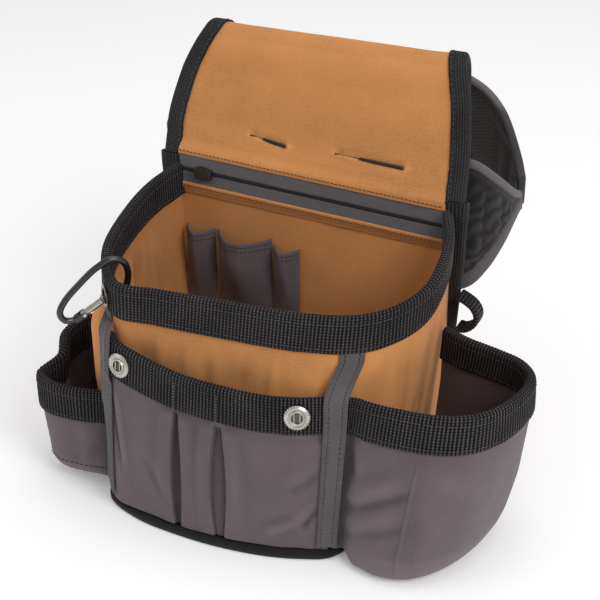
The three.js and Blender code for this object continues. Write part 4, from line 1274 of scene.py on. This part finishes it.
# Post snaps on the tail of the flap, which fit the pocket's rings
SNAP_SPACING = 112.0
SNAP_PLACE = 0.9
POST_PROFILE = [
    (0, 0), (7.7, 0), (8.0, 0.4), (7.9, 0.9), (7.4, 1.3), (6.4, 1.6), (4.0, 1.35),
    (3.5, 1.5), (3.1, 2.4), (3.1, 2.9), (2.7, 3.2), (0, 3.2),
]
snap_way = flap_normal(SNAP_PLACE)
snap_side = np.sign(snap_way[1])
for side, name in SIDES:
    seat = flap_at(SNAP_PLACE, side * SNAP_SPACING / 2, snap_side * (FLAP / 2 + GAP))
    post = lathe(f"snap_post_{name}", POST_PROFILE, seat, snap_way * snap_side)
    dress(post, nickel, "bright_metal", f"flap_snap_{name}")

# Belt pads

# Columns: x, rim y, z, foot y, z
WING_ROWS = [
    (0, 79.3, 198, 65.2, 114), (60, 79.3, 198, 65.2, 114), (88, 79.3, 198, 65.2, 114),
    (101, 79.5, 197, 69.5, 117), (109, 83, 191, 79, 125.5), (114.5, 92, 182, 91, 136.5),
    (117.3, 105, 172, 105, 147), (118, 119, 165, 119, 153),
]
LUMBAR_ROWS = [
    (115.5, 133, 168, 133, 150), (106, 151, 177.5, 151, 138), (88, 171, 198, 171, 124), (60, 194, 207, 194, 116),
    (0, 212, 211, 212, 113),
]
LUMBAR_LEFT_END = (112, 142, 174, 142, 145)


def belt_rows(side, rows):
    return [(side * x, rim_y, rim_z, side * x, foot_y, foot_z, 0) for x, rim_y, rim_z, foot_y, foot_z in rows]


hip = Wall(belt_rows(-1, WING_ROWS[:0:-1]) + belt_rows(1, WING_ROWS))
lumbar = Wall(belt_rows(1, LUMBAR_ROWS) + belt_rows(-1, LUMBAR_ROWS[-2:0:-1] + [LUMBAR_LEFT_END]))
PAD_HALF = 2.5
PAD_HELD = 4.2
# Width of a puckered pad's border, and the distance between its puckers
PUCKERED_BORDER = 10.5
PUCKER_PITCH = 6.5
pad_folds = Noise(97)


def pad(name, wall, columns, rows, quilts, grow, puckered, material, slot, node):
    """A soft pad along a belt wall: a closed bag of cloth, held at its border and quilted lines, that a
    cloth simulation fills out."""
    runs = np.linspace(0.5, wall.length - 0.5, columns)
    grid = wall.grid(runs, rows)
    normals = grid_normals(grid)
    edge = edge_distance(grid)
    depths = row_lengths(grid)
    slanted = 0.75 * np.abs(runs - wall.length / 2)[:, None] + 0.65 * depths
    unsteady = 2 * pad_folds(runs[:, None] / 9, depths / 9)
    pucker = np.sin(2 * np.pi * slanted / PUCKER_PITCH + unsteady)
    inside = ease(edge, PUCKERED_BORDER, 15) * puckered
    half = 0.9 + (PAD_HALF - 1.4) * ease(edge, 2 + 5 * puckered, 14 + 6 * puckered) + 0.35 * inside * pucker
    sewn = np.zeros(grid.shape[:2], bool)
    for run in quilts:
        sewn |= (np.abs(runs - run) < 0.8 * wall.length / columns)[:, None]
    half = np.where(sewn, 1.0, half)[..., None]
    points = np.stack([grid + normals * half, grid - normals * half]).reshape(-1, 3)
    faces = sheet_faces(columns, rows)
    held = (edge < max(PAD_HELD, PUCKERED_BORDER * puckered)) | sewn
    points = settle(points, faces, np.stack([held, held]).ravel(), grow)
    piece = two_layers(name, grid, points, faces)
    # Painted shade in the puckers' creases and along the seam inside the border; the puckered middle is darker overall
    # too.
    wear_and_shade = inside * (0.8 * pucker - 0.5) - 1.2 * puckered * hump(edge, 11.0, 2.4)
    set_wear_and_shade(piece, np.stack([wear_and_shade, wear_and_shade]))
    dress(piece, material, slot, node)


def pad_border(name, wall, wide_top, wide_low, painted_light_above, painted_shade_low):
    """Binding round all four edges of a pad, with painted shade below a height and painted light above it."""
    inset, inset_low = wide_top - 0.1, wide_low - 0.1
    long, short, sides = 160, 12, 14
    top = np.linspace(inset, wall.length - inset, long)
    heights = wall.height(top)
    down = np.linspace(0.1, 0.9, short)
    runs = np.concatenate([top, np.full(short, wall.length - inset), top[::-1], np.full(short, inset)])
    depths = np.concatenate([np.full(long, inset), down * heights[-1], (heights - inset_low)[::-1],
                             np.linspace(0.9, 0.1, short) * heights[0]])
    half_width = np.concatenate([np.full(long, wide_top), np.linspace(wide_top, wide_low, short),
                                 np.full(long, wide_low), np.linspace(wide_low, wide_top, short)])
    loop = wall.middle(runs, depths)
    out = wall.normal(runs, depths)
    ahead = unit(np.roll(loop, -1, axis=0) - np.roll(loop, 1, axis=0))
    aside = unit(np.cross(ahead, out))
    angles = turns(sides)
    wide = np.sign(np.cos(angles)) * np.abs(np.cos(angles)) ** 0.7
    thick = np.sign(np.sin(angles)) * np.abs(np.sin(angles)) ** 0.8 * PAD_HALF
    rings = loop[:, None] + aside[:, None] * (half_width[:, None] * wide)[..., None] + out[:, None] * thick[:, None]
    rings = np.concatenate([rings, rings[:1]])
    along = row_lengths(np.concatenate([loop, loop[:1]]))
    pale = painted_shade_low + (0.7 - painted_shade_low) * ease(rings[:, :, 2], painted_light_above - 3, painted_light_above + 3)
    dress(tube(name, rings, along, np.arange(sides) * 0.9, wear_and_shade=pale), pad_edge, "grey_canvas")


WING_QUILTS = [18, 34, 50]
hip_quilts = WING_QUILTS + [hip.length - run for run in WING_QUILTS]
pad("hip_cushion", hip, 180, 44, hip_quilts, 0.05, 1.0, shaded_pad_cloth, "grey_canvas", "hip_pad")
pad_border("hip_border", hip, 2.7, 5.2, 164, -0.3)
pad("lumbar_cushion", lumbar, 120, 34, [], 0.02, 0.0, black_mesh, "black_mesh", "lumbar_pad")
pad_border("lumbar_border", lumbar, 1.9, 1.9, 198, -1.0)


def ribbed(grid, travel, height):
    """A grid of webbing with a cord at each rib."""
    return grid + grid_normals(grid) * (height * np.abs(np.sin(np.pi * travel / RIB)))[:, None, None]


# Webbing straps that close the belt, on the waist side of the pads
strap_inside = -(PAD_HALF + 2 * GAP + STRAP / 2)
STRAP_LAP = 14.0
STRAP_MIDDLE = 159.0
for name, first, last in (("right", hip, lumbar), ("left", lumbar, hip)):
    strap_rows = []
    for wall, run in ((first, first.length - STRAP_LAP), (first, first.length - 1), (last, 1), (last, STRAP_LAP)):
        x, y, _ = wall.at(run, wall.height(run) / 2, strap_inside)
        strap_rows.append((x, y, STRAP_MIDDLE + STRAP_WIDTH / 2, x, y, STRAP_MIDDLE - STRAP_WIDTH / 2, 0))
    strap = Wall(strap_rows)
    runs = np.arange(0, strap.length, RIB / 4)
    strap_piece = cloth_sheet(f"strap_{name}", ribbed(strap.grid(runs, 10), runs, 0.15), STRAP - 0.4, rounding=0.8)
    dress(strap_piece, black_webbing, "black_webbing", f"belt_strap_{name}")

# Webbing loop at the right back edge
LOOP_LINE = [(102.4, 98), (107, 97.6), (112, 100.6), (114.6, 104.5), (114.9, 109), (112.2, 113.8), (107.5, 117),
             (102.4, 119.2)]
LOOP_FROM = 48.4
LOOP_TO = 60.6
LOOP_THICKNESS = 3.4
loop_section = Curve([(x, 0, z) for x, z in LOOP_LINE]).at(np.linspace(0, 1, 110))
loop_grid = loop_section[:, None] + np.linspace(LOOP_FROM, LOOP_TO, 12)[None, :, None] * Y_AXIS
loop_grid = ribbed(loop_grid, row_lengths(loop_section), 0.18)
dress(cloth_sheet("side_loop_band", loop_grid, LOOP_THICKNESS), black_webbing, "black_webbing", "side_loop")

# Snap hook through the eyelet, in a plane with x out of the bag and y up
WIRE_RADIUS = 2.0
GATE_RADIUS = 2.1
hook_out = unit(eyelet_way * (1, 1, 0))
hook_aside = np.cross(hook_out, Z_AXIS)
gate_nose = np.array([5.2, -2.6])
gate_hinge = np.array([18.5, -10.3])
gate_along = unit(gate_hinge - gate_nose)
hook_nose = gate_nose - 2 * GAP * gate_along
hook_hinge = gate_hinge + 2 * GAP * gate_along
HOOK_PATH = [(23, -12.5), (28.5, -11.5), (30.8, -6.5), (27.6, 0.5), (18.4, 10), (7.6, 19), (-2, 23), (-9, 20),
             (-11.2, 12.3), (-9, 4), (-3.5, 0.4)]


def hook_point(flat):
    flat = np.asarray(flat, float)
    return eyelet_point + flat[..., 0, None] * hook_out + flat[..., 1, None] * Z_AXIS


hook_curve = Curve([(x, y, 0) for x, y in (hook_hinge, *HOOK_PATH, hook_nose)])
hook_places = np.linspace(0, 1, 180)
hook_line = hook_curve.at(hook_places)
hook_ahead = hook_curve.tangent(hook_places)
hook_up = np.stack([-hook_ahead[:, 1], hook_ahead[:, 0]], -1)
hook_travel = row_lengths(hook_line)
hook_end = np.minimum(hook_travel, hook_travel[-1] - hook_travel)
hook_radius = WIRE_RADIUS * (1 - 0.25 * (1 - np.clip(hook_end / 0.7, 0, 1)) ** 2)
hook_rise, hook_lean = ((way(turns(20)) * hook_radius[:, None])[..., None] for way in (np.cos, np.sin))
hook_rings = hook_point(hook_line[:, None, :2] + hook_rise * hook_up[:, None]) + hook_lean * hook_aside
hook_piece = make_object("hook_wire", hook_rings, tube_faces(*hook_rings.shape[:2]))
dress(hook_piece, black_enamel, "dark_metal", "carabiner_body")

gate_pivot = hook_point(gate_hinge - gate_along * GATE_RADIUS)
gate_way = hook_point(-gate_along) - eyelet_point
gate_top = np.linalg.norm(gate_hinge - gate_nose) - GATE_RADIUS
gate_profile = [(0, -GATE_RADIUS)]
gate_profile += [(GATE_RADIUS * np.cos(angle), GATE_RADIUS * np.sin(angle))
                 for angle in np.radians(np.linspace(-80, 0, 9))]
gate_profile += [(GATE_RADIUS, 2.2), (GATE_RADIUS - 0.25, 2.5), (GATE_RADIUS - 0.25, 3.0), (GATE_RADIUS, 3.3)]
gate_profile += [(GATE_RADIUS, gate_top - 2.4), (GATE_RADIUS - 0.2, gate_top - 2.2), (GATE_RADIUS, gate_top - 2.0),
                 (GATE_RADIUS, gate_top - 0.4), (GATE_RADIUS - 0.4, gate_top), (0, gate_top)]
gate_piece = lathe("gate_bar", gate_profile, gate_pivot, gate_way, sides=32)
dress(gate_piece, nickel, "bright_metal", "carabiner_gate", body="gate")

# Fork of the hook beside the gate's hinge end, with the heads of its rivet; it leans on to the wire
FORK_LENGTH = 5.1
FORK_HALF_WIDTH = 1.7
FORK_SIDES = 28
FORK_LEAN = 0.35
# Columns: share of the outline, distance from the hook's plane
FORK_SECTION = [(0.01, 2.2), (0.86, 2.2), (1, 2.35), (1, 2.65), (0.86, 2.8), (0.01, 2.8)]
RIVET_HEAD = [(0, 2.75), (1.1, 2.75), (1.1, 3.0), (0.8, 3.25), (0, 3.3)]
fork_turns = turns(FORK_SIDES)
fork_along = np.where(np.cos(fork_turns) > 0, FORK_LENGTH, 0) + FORK_HALF_WIDTH * np.cos(fork_turns)
fork_across = FORK_HALF_WIDTH * np.sin(fork_turns)
for side, name in SIDES:
    fork_rings = []
    for share, level in FORK_SECTION:
        along = FORK_LENGTH / 2 + (fork_along - FORK_LENGTH / 2) * share
        flat = gate_hinge + np.outer(along - GATE_RADIUS, gate_along)
        flat = flat + np.outer(fork_across * share, (-gate_along[1], gate_along[0]))
        lean = side * (level - FORK_LEAN * np.clip(along / FORK_LENGTH, 0, 1))
        fork_rings.append(hook_point(flat) + lean[:, None] * hook_aside)
    fork = make_object(f"hook_fork_{name}", fork_rings, tube_faces(len(FORK_SECTION), FORK_SIDES))
    dress(fork, black_enamel, "dark_metal")
    head = lathe(f"hook_rivet_{name}", RIVET_HEAD, gate_pivot, side * hook_aside, sides=24)
    dress(head, nickel, "bright_metal")

# Carried-over hard pieces keep their shape, with softened edges
for node, material, width in (("zip_slider", shadowed_nickel, 0.5), ("belt_buckle", black_plastic, 1.0)):
    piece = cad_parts[node]
    piece.data.materials.clear()
    piece.data.materials.append(material)
    softened = piece.modifiers.new("softened", "BEVEL")
    softened.width = width * MM
    softened.segments = 3

# Stitches, joined by colour
for name, material, slot in (
    ("grey", grey_thread, "grey_tape"), ("dark", dark_thread, "black_binding"), ("brown", brown_thread, "tan_canvas"),
):
    dress(joined(f"stitches_{name}", threads[name]), material, slot)

# Floor, light and camera
floor_finish = Finish("floor", Specular_IOR_Level=0.2, Emission_Color=(1, 1, 1, 1), Emission_Strength=0.16)
floor_cloud = floor_finish.grain(3.0)
floor_finish.colour(floor_cloud, (1, 1, 1), 0.97, 0.99)
floor_finish.rough(floor_cloud, 0.7, 0.9)
bpy.ops.mesh.primitive_plane_add(size=12)
floor = bpy.context.object
floor.name = "floor"
floor.data.materials.append(floor_finish.material)

world = bpy.data.worlds.new("studio")
world.use_nodes = True
world.node_tree.nodes["Background"].inputs[0].default_value = (1, 1, 1, 1)
world.node_tree.nodes["Background"].inputs[1].default_value = 0.5
bpy.context.scene.world = world

LIGHT_TARGET = Vector((0, 0, 0.1))
# Columns: name, place, size and power
for name, location, size, power in (
    ("key", (1.25, -0.7, 1.3), 1.0, 13.5), ("fill", (-1.2, -0.8, 0.9), 1.2, 2.5), ("top", (0.1, 0.3, 1.8), 1.4, 7),
):
    data = bpy.data.lights.new(name, "AREA")
    data.shape = "DISK"
    data.size = size
    data.energy = power
    lamp = bpy.data.objects.new(name, data)
    lamp.location = location
    lamp.rotation_euler = (LIGHT_TARGET - Vector(location)).to_track_quat("-Z", "Y").to_euler()
    bpy.context.scene.collection.objects.link(lamp)

CAMERA_TARGET = Vector((20, 0, 124)) * MM
CAMERA_DISTANCE = 0.9
CAMERA_AZIMUTH = math.radians(24)
CAMERA_ELEVATION = math.radians(28)
back_way = Vector((math.sin(CAMERA_AZIMUTH) * math.cos(CAMERA_ELEVATION),
                   -math.cos(CAMERA_AZIMUTH) * math.cos(CAMERA_ELEVATION), math.sin(CAMERA_ELEVATION)))
camera_data = bpy.data.cameras.new("photo_camera")
camera_data.lens = 90
camera_data.sensor_width = 36
camera = bpy.data.objects.new("photo_camera", camera_data)
camera.location = CAMERA_TARGET + back_way * CAMERA_DISTANCE
camera.rotation_euler = (-back_way).to_track_quat("-Z", "Y").to_euler()
bpy.context.scene.collection.objects.link(camera)
bpy.context.scene.camera = camera
bpy.context.scene.view_settings.view_transform = "Standard"
